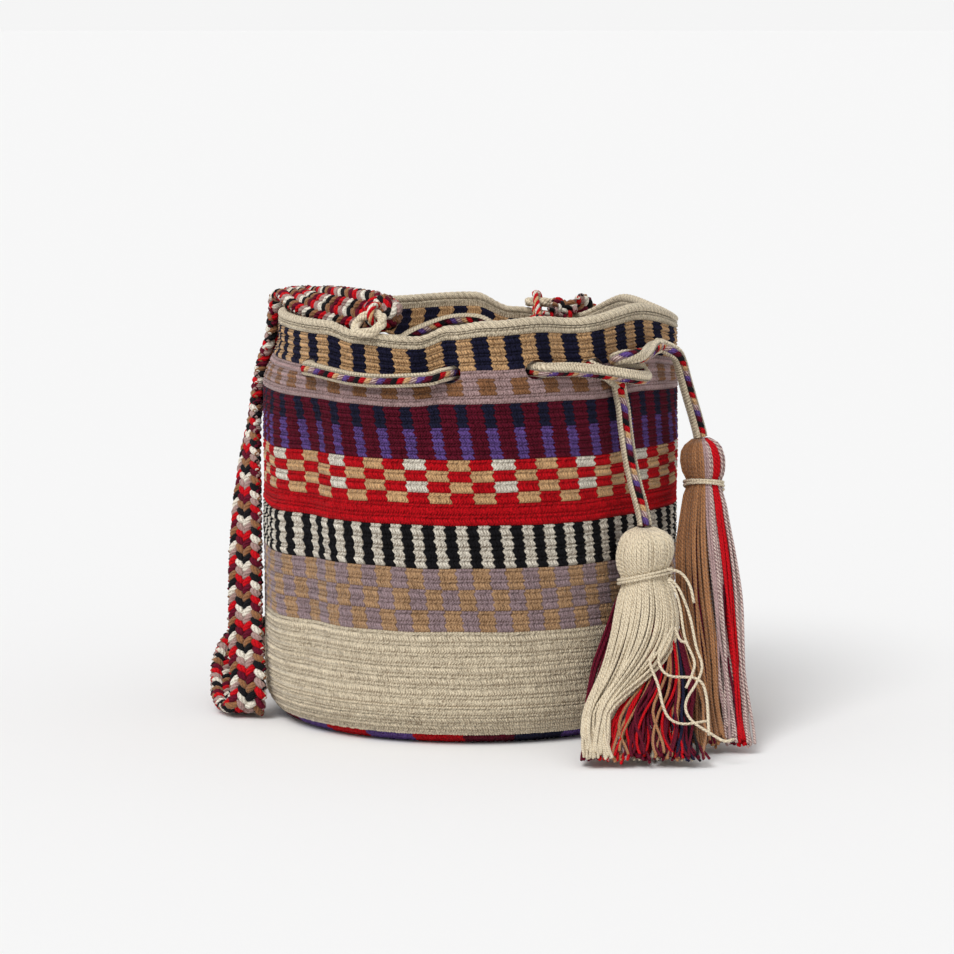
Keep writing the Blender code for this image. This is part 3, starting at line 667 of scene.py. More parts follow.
def crochet(cloth, sections, row_number, colour_of, samples=STITCH_SAMPLES, shape=ROW_SHAPE, inwards=False,
            eyelets=False, relief_of=lambda n: SOFT_BANDS["cream"]):
    """Rows of stitches. sections has a function for each row, from the share down it to its section."""
    columns = STITCHES * samples
    step = STITCH_SAMPLES // samples
    stitch_at = np.arange(columns + 1) / samples
    angle, relief, sections_at, colours = [], [], [], []
    chance_shift = chance.normal(0, UNEVEN_STITCH, (len(sections), STITCHES))
    for n, section in enumerate(sections):
        for share, shift, reliefs in shape:
            angle.append((stitch_at[:-1] + shift + DRIFT * (row_number + n + share)
                          + np.repeat(chance_shift[n], samples) * (share > 0)) * 360 / STITCHES)
            own = np.tile(np.array(reliefs)[::step], STITCHES) * 0.001 * relief_of(n)
            own = own + np.repeat(chance.normal(0, UNEVEN_RELIEF, STITCHES), samples) * (share > 0)
            relief.append(np.minimum(own, HIGHEST))
            sections_at.append(section(share))
            colours.append(colour_of(n, np.floor(stitch_at[:-1]).astype(int)))
    _, shift, reliefs = shape[0]
    angle.append((stitch_at[:-1] + shift + DRIFT * (row_number + len(sections))) * 360 / STITCHES)
    relief.append(np.tile(np.array(reliefs)[::step], STITCHES) * 0.001 * relief_of(len(sections) - 1))
    sections_at.append(sections[-1](1.0))
    angle, relief = np.array(angle), np.array(relief)
    radius, height, out, up = (np.array(values)[:, None] for values in zip(*sections_at))
    keep = None
    if eyelets:
        angle, height, keep = open_eyelets(angle, height)
    sway = slow_noise(angle, height, SWAY_WAVES, SWAY)
    lift = relief + slow_noise(angle, height, SURFACE_WAVES, SURFACE_SWAY) * (up > -0.5)
    height_now = height + up * lift + sway * ease(0.02, 0.05, height) * (1 - ease(0.225, 0.24, height))
    points = on_profile(angle, radius + out * lift, height_now)
    points[..., 2] = np.maximum(points[..., 2], 0.0)
    phase = (stitch_at[None, :] * 2 + np.arange(len(angle))[:, None] * 0.55) + 0.25
    # The crest falls with the relief, so the material paints shade in the grooves between rows and stitches
    cloth.grid(points, 1 + relief / (DEEPEST * 0.001), phase, np.array(colours), keep, flip=not inwards)


def open_eyelets(angle, height):
    """Holes for the cord: the points round each go to its oval, and the quads inside it go."""
    inside = np.zeros(angle.shape, bool)
    half_high = CORD_RADIUS + EYELET_SLACK
    for middle in EYELET_ANGLES:
        away = ((angle - middle + 180) % 360 - 180) * math.radians(1) * BODY_RADIUS
        high = height - EYELET_HEIGHT
        far = np.sqrt((away / EYELET_HALF_WIDTH) ** 2 + (high / half_high) ** 2)
        here = far < 1
        inside |= here
        stretch = np.where(here, 1 / np.maximum(far, 0.05), 1.0) - 1
        angle = angle + away * stretch / (math.radians(1) * BODY_RADIUS)
        height = height + high * stretch
    after = np.roll(inside, -1, axis=1)
    full = inside[:-1] & inside[1:] & after[:-1] & after[1:]
    return angle, height, ~full


def wall_rows(names):
    """The rows of the named bands down the wall: band, number in the band, top and bottom."""
    made, top = [], RIM_ROW_TOP
    for name, rows, bottom in BANDS:
        if name in names:
            pitch = (top - bottom) / rows
            made += [(name, row, top - row * pitch, top - (row + 1) * pitch) for row in range(rows)]
        top = bottom
    return made


def rows_above(name):
    """How many rows of the wall lie above a band, or all of them for None."""
    count = 0
    for band, rows, _ in BANDS:
        if band == name:
            return count
        count += rows
    return count


def wall_yarns(rows):
    return lambda n, stitch: band_colour(rows[n][0], rows[n][1], stitch)


def base_yarns(row, stitch):
    return base_colour(stitch * 360 / STITCHES + row * WEDGE_TURN)


def upright(rows, radius, out):
    """The sections of rows of the wall, facing out (1) or in (-1)."""
    return [(lambda share, top=top, bottom=bottom: (radius, top + (bottom - top) * share, out, 0.0))
            for _, _, top, bottom in rows]


def rounded(sunk, out):
    """The sections of the rounded corner's rows, sunk below its outer face, facing out (1) or in (-1)."""
    def section(share, row):
        turn = math.radians(90 * (row + share) / CORNER_ROWS)
        away, up = math.cos(turn), -math.sin(turn)
        return (FLAT_RADIUS + (BASE_ROUND_OUT - sunk) * away, BASE_ROUND_UP + (BASE_ROUND_UP - sunk) * up,
                out * away, out * up)

    return [partial(section, row=row) for row in range(CORNER_ROWS)]


def level(height, up):
    """The sections of the flat base's rounds, facing up (1) or down (-1)."""
    def section(share, row):
        return max(FLAT_RADIUS * (1 - (row + share) / BASE_ROWS), BASE_MIDDLE), height, 0.0, up

    return [partial(section, row=row) for row in range(BASE_ROWS)]


def make_wall(name, bands, eyelets=False):
    rows = wall_rows(bands)
    cloth = Cloth()
    crochet(cloth, upright(rows, BODY_RADIUS, 1.0), rows_above(bands[0]), wall_yarns(rows), eyelets=eyelets,
            relief_of=lambda n: SOFT_BANDS.get(rows[n][0], 1.0))
    return cloth.piece(name, "bag_crochet", "bag_body")


def make_inside():
    """The inner face of the wall, corner and floor, and the edges of the eyelets."""
    rows = wall_rows([band for band, _, _ in BANDS])
    inner = BODY_RADIUS - WALL
    cloth = Cloth()
    crochet(cloth, upright(rows, inner, -1.0), 0, wall_yarns(rows), samples=2, shape=PLAIN_SHAPE,
            inwards=True, eyelets=True, relief_of=lambda n: INNER_RELIEF)
    crochet(cloth, rounded(WALL, -1), len(rows), partial(band_colour, "cream"), samples=1,
            shape=PLAIN_SHAPE, inwards=True)
    crochet(cloth, level(WALL, 1.0), len(rows) + CORNER_ROWS, base_yarns, samples=1, shape=FLAT_SHAPE,
            inwards=True)
    turn = np.arange(EYELET_SIDES) * math.tau / EYELET_SIDES
    height = EYELET_HEIGHT + (CORD_RADIUS + EYELET_SLACK) * np.sin(turn)
    radius = np.linspace(BODY_RADIUS - EYELET_EDGE, inner + EYELET_EDGE, 4)[:, None]
    phase = np.arange(EYELET_SIDES + 1)[None, :] / 2
    for middle in EYELET_ANGLES:
        angle = middle + EYELET_HALF_WIDTH * np.cos(turn) / (math.radians(1) * BODY_RADIUS)
        # A crest of 0.5 gives the eyelets' edges half the painted groove shade
        cloth.grid(on_profile(angle[None], radius, height[None]), 0.5, phase, CODE["mauve"])
    return cloth.piece("bag_inside", "bag_crochet", "bag_body")


def make_base():
    """The rounded corner and the underside."""
    first = rows_above(None)

    def corner_yarns(n, stitch):
        angle = (stitch + DRIFT * (first + n)) * 360 / STITCHES
        return base_colour(angle) if n >= CORNER_CREAM_ROWS else band_colour("cream", n, stitch)

    cloth = Cloth()
    crochet(cloth, rounded(0.0, 1), first, corner_yarns)
    crochet(cloth, level(BASE_LIFT, -1.0), first + CORNER_ROWS, base_yarns, samples=1, shape=FLAT_SHAPE)
    return cloth.piece("bag_base", "bag_crochet", "bag_body")


def make_rim():
    """The rolled edge of the mouth: slip stitches laid over the wall's top."""
    turns = np.radians(np.linspace(ROLL_FROM, ROLL_TO, ROLL_RINGS))
    columns = STITCHES * STITCH_SAMPLES
    stitch = np.arange(columns + 1) / STITCH_SAMPLES
    angle = (stitch[:-1] * 360 / STITCHES)[None, :]
    lean = np.degrees(turns)[:, None] / 180
    swing = np.abs(np.sin(math.pi * (stitch[:-1][None, :] * 0.8 + lean * 1.3)))
    ridge = ROLL_RADIUS - ROLL_GROOVE * (1 - swing)
    radius = BODY_RADIUS - WALL / 2 + ridge * np.cos(turns)[:, None]
    height = BODY_HEIGHT - ROLL_RADIUS + ROLL_PROUD + ridge * np.sin(turns)[:, None]
    points = on_profile(np.broadcast_to(angle, radius.shape), radius, height)
    cloth = Cloth()
    phase = stitch[None, :] * 2 + np.arange(len(turns))[:, None] * 0.5
    # The crest falls in the rim's grooves, where the material paints shade
    cloth.grid(points, 0.45 + 0.55 * swing, phase, CODE["cream"])
    return cloth.piece("bag_rim", "bag_crochet", "bag_body")


make_rim()
make_wall("bag_wall_upper", ("rim_row", "navy_tan", "mauve_brown", "maroon"), eyelets=True)
make_wall("bag_wall_middle", ("red", "black_white"))
make_wall("bag_wall_lower", ("mauve_tan", "cream"))
make_base()
make_inside()

# Strap. Its back end, its knot there and the back loop lie a little lower than in the bag's own source.
STRAP_WIDTH = 0.024
# Points of its middle, each with a direction across its width
STRAP_ROUTE = (
    ((-0.0525, -0.0760, 0.2480), (0.30, 0.15, 0.90)),
    ((-0.0680, -0.0540, 0.2485), (0.30, 0.15, 0.90)),
    ((-0.0870, -0.0240, 0.2490), (0.55, 0.25, 0.78)),
    ((-0.0990, 0.0040, 0.2500), (0.80, 0.35, 0.40)),
    ((-0.1055, 0.0250, 0.2515), (0.75, 0.65, 0.10)),
    ((-0.1120, 0.0390, 0.2490), (0.44, 0.90, 0.00)),
    ((-0.1163, 0.0430, 0.2400), (0.34, 0.94, 0.00)),
    ((-0.1185, 0.0430, 0.2250), (0.34, 0.94, 0.00)),
    ((-0.1250, 0.0430, 0.2050), (0.30, 0.95, 0.00)),
    ((-0.1300, 0.0330, 0.1830), (0.06, 1.00, 0.00)),
    ((-0.1330, 0.0190, 0.1570), (-0.35, 0.93, 0.00)),
    ((-0.1345, 0.0060, 0.1280), (-0.65, 0.76, 0.00)),
    ((-0.1350, -0.0060, 0.1000), (-0.80, 0.60, 0.00)),
    ((-0.1350, -0.0150, 0.0710), (-0.84, 0.54, 0.00)),
    ((-0.1342, -0.0250, 0.0440), (-0.86, 0.50, 0.00)),
    ((-0.1325, -0.0345, 0.0230), (-0.90, 0.42, 0.00)),
    ((-0.1335, -0.0335, 0.0100), (-0.95, 0.20, 0.10)),
    ((-0.1375, -0.0240, 0.0062), (-0.97, -0.20, 0.00)),
    ((-0.1430, -0.0080, 0.0064), (-0.95, -0.30, 0.05)),
    ((-0.1465, 0.0130, 0.0115), (-0.90, -0.15, 0.30)),
    ((-0.1470, 0.0350, 0.0220), (-0.80, 0.00, 0.55)),
    ((-0.1415, 0.0600, 0.0300), (-0.50, 0.05, 0.85)),
    ((-0.1265, 0.0850, 0.0310), (-0.30, 0.10, 0.95)),
    ((-0.1010, 0.1100, 0.0260), (-0.25, 0.25, 0.94)),
    ((-0.0660, 0.1290, 0.0190), (-0.20, 0.40, 0.85)),
    ((-0.0260, 0.1390, 0.0140), (-0.10, 0.70, 0.65)),
    ((0.0150, 0.1430, 0.0110), (0.00, 0.85, 0.45)), ((0.0550, 0.1430, 0.0130), (0.10, 0.80, 0.55)),
    ((0.0880, 0.1350, 0.0240), (0.30, 0.50, 0.80)), ((0.1020, 0.1240, 0.0480), (0.55, 0.30, 0.75)),
    ((0.1010, 0.1170, 0.0800), (0.75, 0.45, 0.30)), ((0.0920, 0.1190, 0.1200), (0.82, 0.55, 0.00)),
    ((0.0830, 0.1210, 0.1600), (0.83, 0.55, 0.00)), ((0.0780, 0.1185, 0.2000), (0.83, 0.56, 0.00)),
    ((0.0745, 0.1150, 0.2235), (0.78, 0.62, 0.00)), ((0.0695, 0.1085, 0.2340), (0.74, 0.67, 0.00)),
    ((0.0622, 0.0975, 0.2383), (0.70, 0.71, 0.00)), ((0.0555, 0.0870, 0.2350), (0.70, 0.71, 0.00)),
    ((0.0475, 0.0800, 0.2295), (0.70, 0.71, 0.00)),
)
# Each knot's middle and half sizes
KNOTS = {
    "front": ((-0.0500, -0.0790, 0.2480), (0.0120, 0.0120, 0.0115)),
    "back": ((0.0440, 0.0790, 0.2270), (0.0090, 0.0090, 0.0075)),
}
# Bands of stitches in a knot: tilt and turn in degrees, and share of its size
KNOT_BANDS = ((20, 0, 1.0), (75, 50, 0.96), (60, -65, 0.92))
KNOT_STITCHES = 13
KNOT_REACH = 0.78
KNOT_SPREAD = 0.24
KNOT_SLANT = 0.75
# Stitches of the braid, called floats
FLOAT_PITCH = 0.0046
FLOAT_COLUMNS = 4
FLOAT_HALF = 0.0050
FLOAT_RADIUS = 0.0023
FLOAT_SLANT = 44.0
FLOAT_SINK = 0.0021
FLOAT_RINGS = 5
FLOAT_SIDES = 8
FLOAT_DIVE = 0.95
FLOAT_THINNED = 0.38
FLOAT_GROOVE = 0.10
FLOAT_GROOVES = 4
FLOAT_PLIES = 6
FLOAT_TWIST = 1.4
FLOAT_SPAN = 0.90
OUTER_SINK = 0.80
UNEVEN_FLOAT = 0.05
STRAP_TAPER = 0.060
STRAP_NARROWED = 0.60
STRAP_ORDER = ("brown", "black", "off_white", "rose", "red", "maroon")

# Loops that hold the strap, and the bights of the strap that go through them
LOOP_RADIUS = 0.0082
LOOP_TUBE_RADIUS = 0.0030
LOOP_TILTS = {"strap_loop_front": 52.0, "strap_loop_back": 84.0}
LOOP_SEAT = 0.0016
LOOP_ANGLES = {"strap_loop_front": -29.5, "strap_loop_back": 157.0}
BIGHT_RADIUS = 0.0018
BIGHT_WRAP = 125
BIGHT_STEP = 25
BIGHT_SPREAD = 0.004
# Twisted strands: their radius, distance from the middle and turns a metre
LOOP_TWIST = (0.0017, 0.0013, 2 / (math.tau * LOOP_RADIUS))
BIGHT_TWIST = (0.0011, 0.0010, 70.0)
STRAND_STEP = 0.0012
STRAND_SIDES = 6
STRAND_PLY = 0.0018


def twist_phase(sides, gone, ply):
    """The phase of a yarn's twist round and along it, where a ply goes round in a length ply."""
    return np.arange(sides + 1)[None, None, :] / sides * 2 + (gone / ply)[None, :, None]


def add_floats(cloth, centre, along, face, colours, half=FLOAT_HALF, radius=FLOAT_RADIUS):
    """Slanted stitches of a braid: each a short bent bundle of yarn that dives in at both ends."""
    t = np.linspace(-1, 1, FLOAT_RINGS)[None, :, None]
    lines = centre[:, None] + along[:, None] * (t * half) - face[:, None] * (radius * FLOAT_DIVE * t**2)
    size = radius * (1 - FLOAT_THINNED * t**4) * (1 + chance.normal(0, UNEVEN_FLOAT, (len(centre), 1, 1)))
    side = unit(np.cross(along, face))
    normal = np.broadcast_to(face[:, None], lines.shape)
    across = np.broadcast_to(side[:, None], lines.shape)
    turn = np.arange(FLOAT_SIDES + 1)[None, None, :] / FLOAT_SIDES
    phase = turn * FLOAT_PLIES + t * FLOAT_TWIST
    shape = 1.0 - FLOAT_GROOVE * np.abs(np.sin(turn[..., :-1] * math.pi * FLOAT_GROOVES))
    crest = shape * np.ones((1, FLOAT_RINGS, 1))
    cloth.tubes(lines, size * crest, FLOAT_SIDES, phase, colours[:, None, None], 1.0, (across, normal))


def strap_at(middle, widths, distances):
    """Places, headings, width directions and faces of the strap at distances along it."""
    gone = lengths(middle)
    heading = unit(np.gradient(middle, axis=0))
    place, heading, width = (at_distance(distances, gone, values) for values in (middle, heading, widths))
    heading = unit(heading)
    width = unit(width - heading * np.sum(width * heading, 1, keepdims=True))
    return place, heading, width, np.cross(heading, width)


def add_knot(cloth, place, size):
    """An overhand knot of the braid: three bands of stitches wound over each other."""
    around = np.arange(KNOT_STITCHES) * math.tau / KNOT_STITCHES
    flat = np.zeros(KNOT_STITCHES)
    for tilt, turn, share in KNOT_BANDS:
        turned = Matrix.Rotation(math.radians(turn), 3, "Z") @ Matrix.Rotation(math.radians(tilt), 3, "X")
        turned = np.array(turned)
        ring = np.stack([np.cos(around), np.sin(around), flat], 1) @ turned.T
        tangent = np.stack([-np.sin(around), np.cos(around), flat], 1) @ turned.T
        axis = np.broadcast_to(turned[:, 2], ring.shape)
        for column in (-1, 1):
            centre = ring * KNOT_REACH * share + axis * (KNOT_SPREAD * column)
            centre = np.array(place) + centre * np.array(size)
            steps = range(3 * (column > 0), 3 * (column > 0) + KNOT_STITCHES)
            order = np.array([CODE[STRAP_ORDER[n % len(STRAP_ORDER)]] for n in steps])
            add_floats(cloth, centre, unit(tangent + axis * (KNOT_SLANT * column)), unit(ring), order)


def loop_frame(name):
    """A strap loop's middle, and the directions across and up its plane. It leans in from the rim."""
    angle = LOOP_ANGLES[name]
    rim = on_wall(angle, BODY_HEIGHT, -WALL / 2)
    turn = math.radians(angle)
    outward = np.array((math.sin(turn), -math.cos(turn), 0.0))
    sideways = np.array((math.cos(turn), math.sin(turn), 0.0))
    tilt = math.radians(LOOP_TILTS[name])
    up = np.array((0, 0, math.cos(tilt))) - outward * math.sin(tilt)
    return rim + np.array((0, 0, LOOP_TUBE_RADIUS + LOOP_SEAT)), sideways, up


def add_twist(cloth, line, twist, colours):
    """Strands laid round a line like a rope, one for each colour."""
    radius, offset, turns_per_metre = twist
    line = spaced(line, STRAND_STEP)
    normal, side = carried_frames(line[None])
    gone = lengths(line)
    lines = []
    for n in range(len(colours)):
        turn = (gone * turns_per_metre * math.tau + math.tau * n / len(colours))[:, None]
        lines.append(line + offset * (normal[0] * np.cos(turn) + side[0] * np.sin(turn)))
    codes = np.array([CODE[c] for c in colours])[:, None, None]
    cloth.tubes(np.array(lines), radius, STRAND_SIDES, twist_phase(STRAND_SIDES, gone, STRAND_PLY), codes)


def make_strap():
    """The flat braid, its two knots and the bights through the loops."""
    middle = smooth_curve([place for place, _ in STRAP_ROUTE])
    widths = smooth_curve([width for _, width in STRAP_ROUTE])
    total = lengths(middle)[-1]
    cloth = Cloth()
    slant = math.radians(FLOAT_SLANT)
    order = np.array([CODE[c] for c in STRAP_ORDER])
    for side in (1, -1):
        for column in range(FLOAT_COLUMNS):
            outer = column in (0, FLOAT_COLUMNS - 1)
            distances = np.arange(0.25 + 0.5 * (column % 2), total / FLOAT_PITCH - 0.3) * FLOAT_PITCH
            place, heading, width, face = strap_at(middle, widths, distances)
            face = face * side
            narrow = ease(0, STRAP_TAPER, total - distances)[:, None]
            narrow = STRAP_NARROWED + (1 - STRAP_NARROWED) * narrow
            across = (column - (FLOAT_COLUMNS - 1) / 2) * (STRAP_WIDTH * FLOAT_SPAN) / FLOAT_COLUMNS
            across = across * narrow
            centre = place + width * across + face * FLOAT_SINK * (OUTER_SINK if outer else 1.0) * narrow
            sign = 1 if column % 2 else -1
            along = heading * math.cos(slant) + width * (sign * math.sin(slant))
            along = unit(along + chance.normal(0, UNEVEN_FLOAT, along.shape))
            steps = np.arange(len(distances)) + (3 if outer else 0) + (0 if side > 0 else 2)
            add_floats(cloth, centre, along, face, order[steps % len(order)],
                       FLOAT_HALF * narrow[:, :, None], FLOAT_RADIUS * narrow[:, :, None])
    for end, (place, size) in KNOTS.items():
        add_knot(cloth, place, size)
        centre, sideways, up = loop_frame(f"strap_loop_{end}")
        through = unit(np.cross(up, sideways))
        through = through if through[2] > 0 else -through
        top = centre + up * LOOP_RADIUS
        reach = LOOP_TUBE_RADIUS + BIGHT_RADIUS + SEAT_GAP
        route = [np.array(place)]
        for turn in range(-BIGHT_WRAP, BIGHT_WRAP + 1, BIGHT_STEP):
            around = math.radians(turn)
            route.append(top + (through * math.sin(around) - up * math.cos(around)) * reach)
        route.append(np.array(place) + np.array((0, 0, BIGHT_SPREAD)))
        add_twist(cloth, smooth_curve(route), BIGHT_TWIST, ("red", "off_white", "red", "tan"))
    return cloth.piece("strap_braid", "strap_braid", "strap")


def make_loop(name):
    """A strap loop: three cream strands in a ring."""
    middle, sideways, up = loop_frame(name)
    turns = np.linspace(0, math.tau, 41)
    line = middle + LOOP_RADIUS * (np.cos(turns)[:, None] * sideways + np.sin(turns)[:, None] * up)
    cloth = Cloth()
    add_twist(cloth, line, LOOP_TWIST, ("cream",) * 3)
    return cloth.piece(f"{name}_yarn", "loop_yarn", name)


make_strap()
for loop in LOOP_ANGLES:
    make_loop(loop)

# Tassels. Their skirts end a little further forward than in the bag's own source.
YARN_RADIUS = 0.00085
BINDING_RADIUS = 0.0008
BINDING_TURNS = 2
BINDING_POINTS = 14
BINDING_TWIST = (0.0007, 0.0004, 300.0)
HEAD_STEP = 0.0030
SKIRT_STEP = 0.0066
YARN_SIDES = 6
YARN_UNEVEN = 0.0007
PLY_LENGTH = 0.0026
OUTER_SWEEP = 0.0125
INNER_SWEEP = 0.0275
INNER_FROM = -0.62
FLOOR_CLEAR = 0.0009
HEAD_TOP = 0.018
FILL_FROM = 0.003
FILL_REACH = 0.90
RAGGED = 0.0045
RAGGED_LEAST = 0.0005
# Outer yarns further back than BACK_FROM hang behind the rest and end a little earlier
BACK_FROM = -0.45
BACK_SHORT = 0.006
# How far the outer and the inner yarns wander from their way, and how often, in radians a metre
WANDER = (0.05, 0.10)
WANDER_WAVES = (70, 55)
# Points of each tassel's middle from its top, then sections as (distance, half width, half thickness)
FRONT_TASSEL = {
    "middle": (
        (0.1018, -0.1012, 0.1250), (0.1020, -0.1014, 0.1080), (0.1016, -0.1030, 0.0920),
        (0.1000, -0.1090, 0.0700), (0.0985, -0.1230, 0.0450), (0.0980, -0.1420, 0.0250),
        (0.0985, -0.1640, 0.0110), (0.0990, -0.1875, 0.0050),
    ),
    "sections": (
        (0.000, 0.0060, 0.0060), (0.002, 0.0112, 0.0112), (0.006, 0.0158, 0.0158),
        (0.013, 0.0176, 0.0176), (0.020, 0.0168, 0.0168), (0.0255, 0.0142, 0.0142),
        (0.031, 0.0138, 0.0138), (0.037, 0.0160, 0.0152), (0.060, 0.0200, 0.0165),
        (0.085, 0.0260, 0.0150), (0.110, 0.0330, 0.0125), (0.132, 0.0375, 0.0090),
        (0.156, 0.0385, 0.0045),
    ),
    "neck": (0.0285, 0.0139),
    "neck_tilt": 0.0034,
    "sweep": 0.080,
    "bulge": 0.090,
    "slot": "tassel_front_yarn",
    "head_yarns": 70,
    "inner_yarns": 120,
}
RIGHT_TASSEL = {
    "middle": (
        (0.1372, -0.0447, 0.1702), (0.1385, -0.0455, 0.1560), (0.1392, -0.0475, 0.1410),
        (0.1400, -0.0600, 0.1120), (0.1425, -0.0800, 0.0800), (0.1450, -0.1000, 0.0480),
        (0.1470, -0.1190, 0.0200), (0.1478, -0.1460, 0.0048),
    ),
    "sections": (
        (0.000, 0.0060, 0.0060), (0.002, 0.0098, 0.0098), (0.006, 0.0126, 0.0126),
        (0.012, 0.0138, 0.0138), (0.019, 0.0130, 0.0130), (0.0245, 0.0105, 0.0105),
        (0.029, 0.0101, 0.0101), (0.035, 0.0124, 0.0118), (0.065, 0.0152, 0.0125),
        (0.100, 0.0170, 0.0125), (0.140, 0.0180, 0.0110), (0.168, 0.0185, 0.0085),
        (0.202, 0.0190, 0.0050),
    ),
    "neck": (0.0270, 0.0102),
    "neck_tilt": -0.0012,
    "sweep": 0.120,
    "bulge": 0.120,
    "slot": "tassel_right_yarn",
    "head_yarns": 54,
    "inner_yarns": 90,
}


def tassel_frame(shape):
    """Points down a tassel's middle, with their distances, width and out directions and half sizes."""
    middle = spaced(smooth_curve(shape["middle"]), 0.001)
    gone = lengths(middle)
    heading = unit(np.gradient(middle, axis=0))
    across = unit(np.array((1.0, 0, 0)) - heading * heading[:, :1])
    out = np.cross(heading, across)
    table = np.array(shape["sections"])
    wide, thick = at_distance(gone, table[:, 0], table[:, 1:]).T
    return middle, gone, across, out, wide, thick


# Yarns across the skirts, from left to right
FRONT_ORDER = (
    "red", "red", "mauve", "camel", "red", "maroon", "maroon", "red", "maroon", "maroon", "camel",
    "maroon", "red", "maroon", "camel", "red", "navy", "black", "maroon", "red", "camel",
)
RIGHT_ORDER = (
    "camel", "camel", "brown", "camel", "camel", "brown", "camel", "camel",
    "marl", "mauve", "marl", "marl", "red", "red", "marl", "marl",
)
RIGHT_INNER = (
    "camel", "brown", "camel", "camel", "maroon", "camel", "brown", "camel",
    "mauve", "marl", "maroon", "marl", "red", "red", "marl", "marl",
)
# The right tassel's ends lie from -1 to 0.8 of its half width
RIGHT_SPAN = 1.8


def front_colours(end, front, inner):
    """Front tassel: cream outside, other yarns inside and at the back left."""
    if inner:
        place = np.clip((end - INNER_FROM) / (1 - INNER_FROM) + chance.normal(0, 0.03), 0, 0.999)
        return FRONT_ORDER[int(place * len(FRONT_ORDER))]
    return "maroon" if front < BACK_FROM and end < -0.3 else "cream"


def right_colours(end, front, inner):
    """Right tassel: camel at the left, then mauve, red and marled stripes to the right."""
    order = RIGHT_INNER if inner else RIGHT_ORDER
    place = np.clip((end + 1) / RIGHT_SPAN + chance.normal(0, 0.02), 0, 0.999)
    return order[int(place * len(order))]


def add_yarn(cloth, line, gone, shift, colour):
    """One yarn of a tassel along a line, with the distance gone at each point and a shift of its twist."""
    phase = twist_phase(YARN_SIDES, gone, PLY_LENGTH) + shift
    cloth.tubes(line[None], YARN_RADIUS, YARN_SIDES, phase, CODE[colour])


def make_tassel(shape, colour_of, sweep):
    """A tube for each yarn: outer ones from the head's top over the neck to their places at the skirt's
    end, an under layer that fills the head, and inner ones that start at the neck.
    """
    middle, gone, across, out, wide, thick = tassel_frame(shape)
    neck = shape["neck"][0]
    cloth = Cloth()
    groups = (
        (shape["head_yarns"], 0.0, gone[-1], False), (shape["head_yarns"], FILL_FROM, neck, False),
        (shape["inner_yarns"], neck, gone[-1], True),
    )
    for count, start, finish, inner in groups:
        for n in range(count):
            if inner:
                reach = math.sqrt(chance.uniform(0.10, 0.90))
                turn = math.tau * (n + chance.uniform(-0.5, 0.5)) / count
            elif finish == neck:
                reach = FILL_REACH
                turn = math.tau * (n + 0.5) / count
            else:
                reach = 1.0
                turn = math.tau * (n + chance.uniform(-0.15, 0.15)) / count
            side, front = math.cos(turn) * reach, math.sin(turn) * reach
            ragged = abs(chance.normal(0, RAGGED)) + RAGGED_LEAST
            stop = finish - (ragged if finish > neck else 0.0) - (BACK_SHORT if front < BACK_FROM else 0.0)
            places = np.concatenate([np.arange(start, min(neck, stop), HEAD_STEP),
                                     np.arange(max(start, neck), stop, SKIRT_STEP), [stop]])
            (side_start, front_start), (side_end, front_end), begin, bulge = sweep(side, front, inner)
            down = ease(neck + begin, neck + begin + shape["sweep"], places)
            arch = np.sin(math.pi * np.clip((places - neck) / shape["bulge"], 0, 1))
            loose = ease(neck, gone[-1], places)
            wander = [WANDER[inner] * np.sin(places * wave + turned) * loose
                      for wave, turned in zip(WANDER_WAVES, chance.uniform(0, math.tau, 2))]
            x = side_start + (side_end - side_start) * down + bulge * arch + wander[0]
            y = front_start + (front_end - front_start) * down + wander[1]
            deep = YARN_RADIUS + abs(chance.normal(0, YARN_UNEVEN))
            place, aside, outwards = (at_distance(places, gone, values) for values in (middle, across, out))
            tilted = places + shape["neck_tilt"] * side * ease(0.0, HEAD_TOP, places)
            w, t = np.interp(tilted, gone, wide), np.interp(tilted, gone, thick)
            line = place + aside * ((w - deep) * x)[:, None] + outwards * ((t - deep) * y)[:, None]
            line[:, 2] = np.maximum(line[:, 2], FLOOR_CLEAR)
            add_yarn(cloth, line, places, chance.uniform(0, 1), colour_of(side_end, front, inner))
    return cloth, (middle, gone, across, out, wide, thick)


def front_sweep(side, front, inner):
    """A yarn's start and end in the front tassel as (side, front), where its sweep begins, and its bulge.

    The coloured yarns start at the right of the neck, and the cream ones sweep to the left on top of them.
    """
    if inner:
        end = INNER_FROM + (1 - INNER_FROM) * (side + 1) / 2 + chance.normal(0, 0.04)
        return (0.62 + 0.25 * side, front * 0.4), (end, front * 0.9), INNER_SWEEP, 0.36 * (side + 1) / 2
    if front < BACK_FROM:
        if side < 0:
            return (side, front), (-0.95 + 0.25 * (side + 1), -0.6), 0.0, -0.34 + 0.30 * (side + 1)
        return (side, front), (-0.2 + 1.0 * side, -0.8), OUTER_SWEEP, 0.12
    end = -0.90 + 0.36 * (side + 1) / 2 + chance.normal(0, 0.03)
    return (side, front), (end, 0.35 + 0.6 * chance.random()), OUTER_SWEEP, 0.20 + 0.12 * side


def right_sweep(side, front, inner):
    """The right tassel spreads below its neck, and its end leans to the left."""
    end = -0.1 + 0.9 * side + chance.normal(0, 0.05)
    return (side, front), (end, front + chance.normal(0, 0.08)), 0.0, 0.22 * side - 0.06


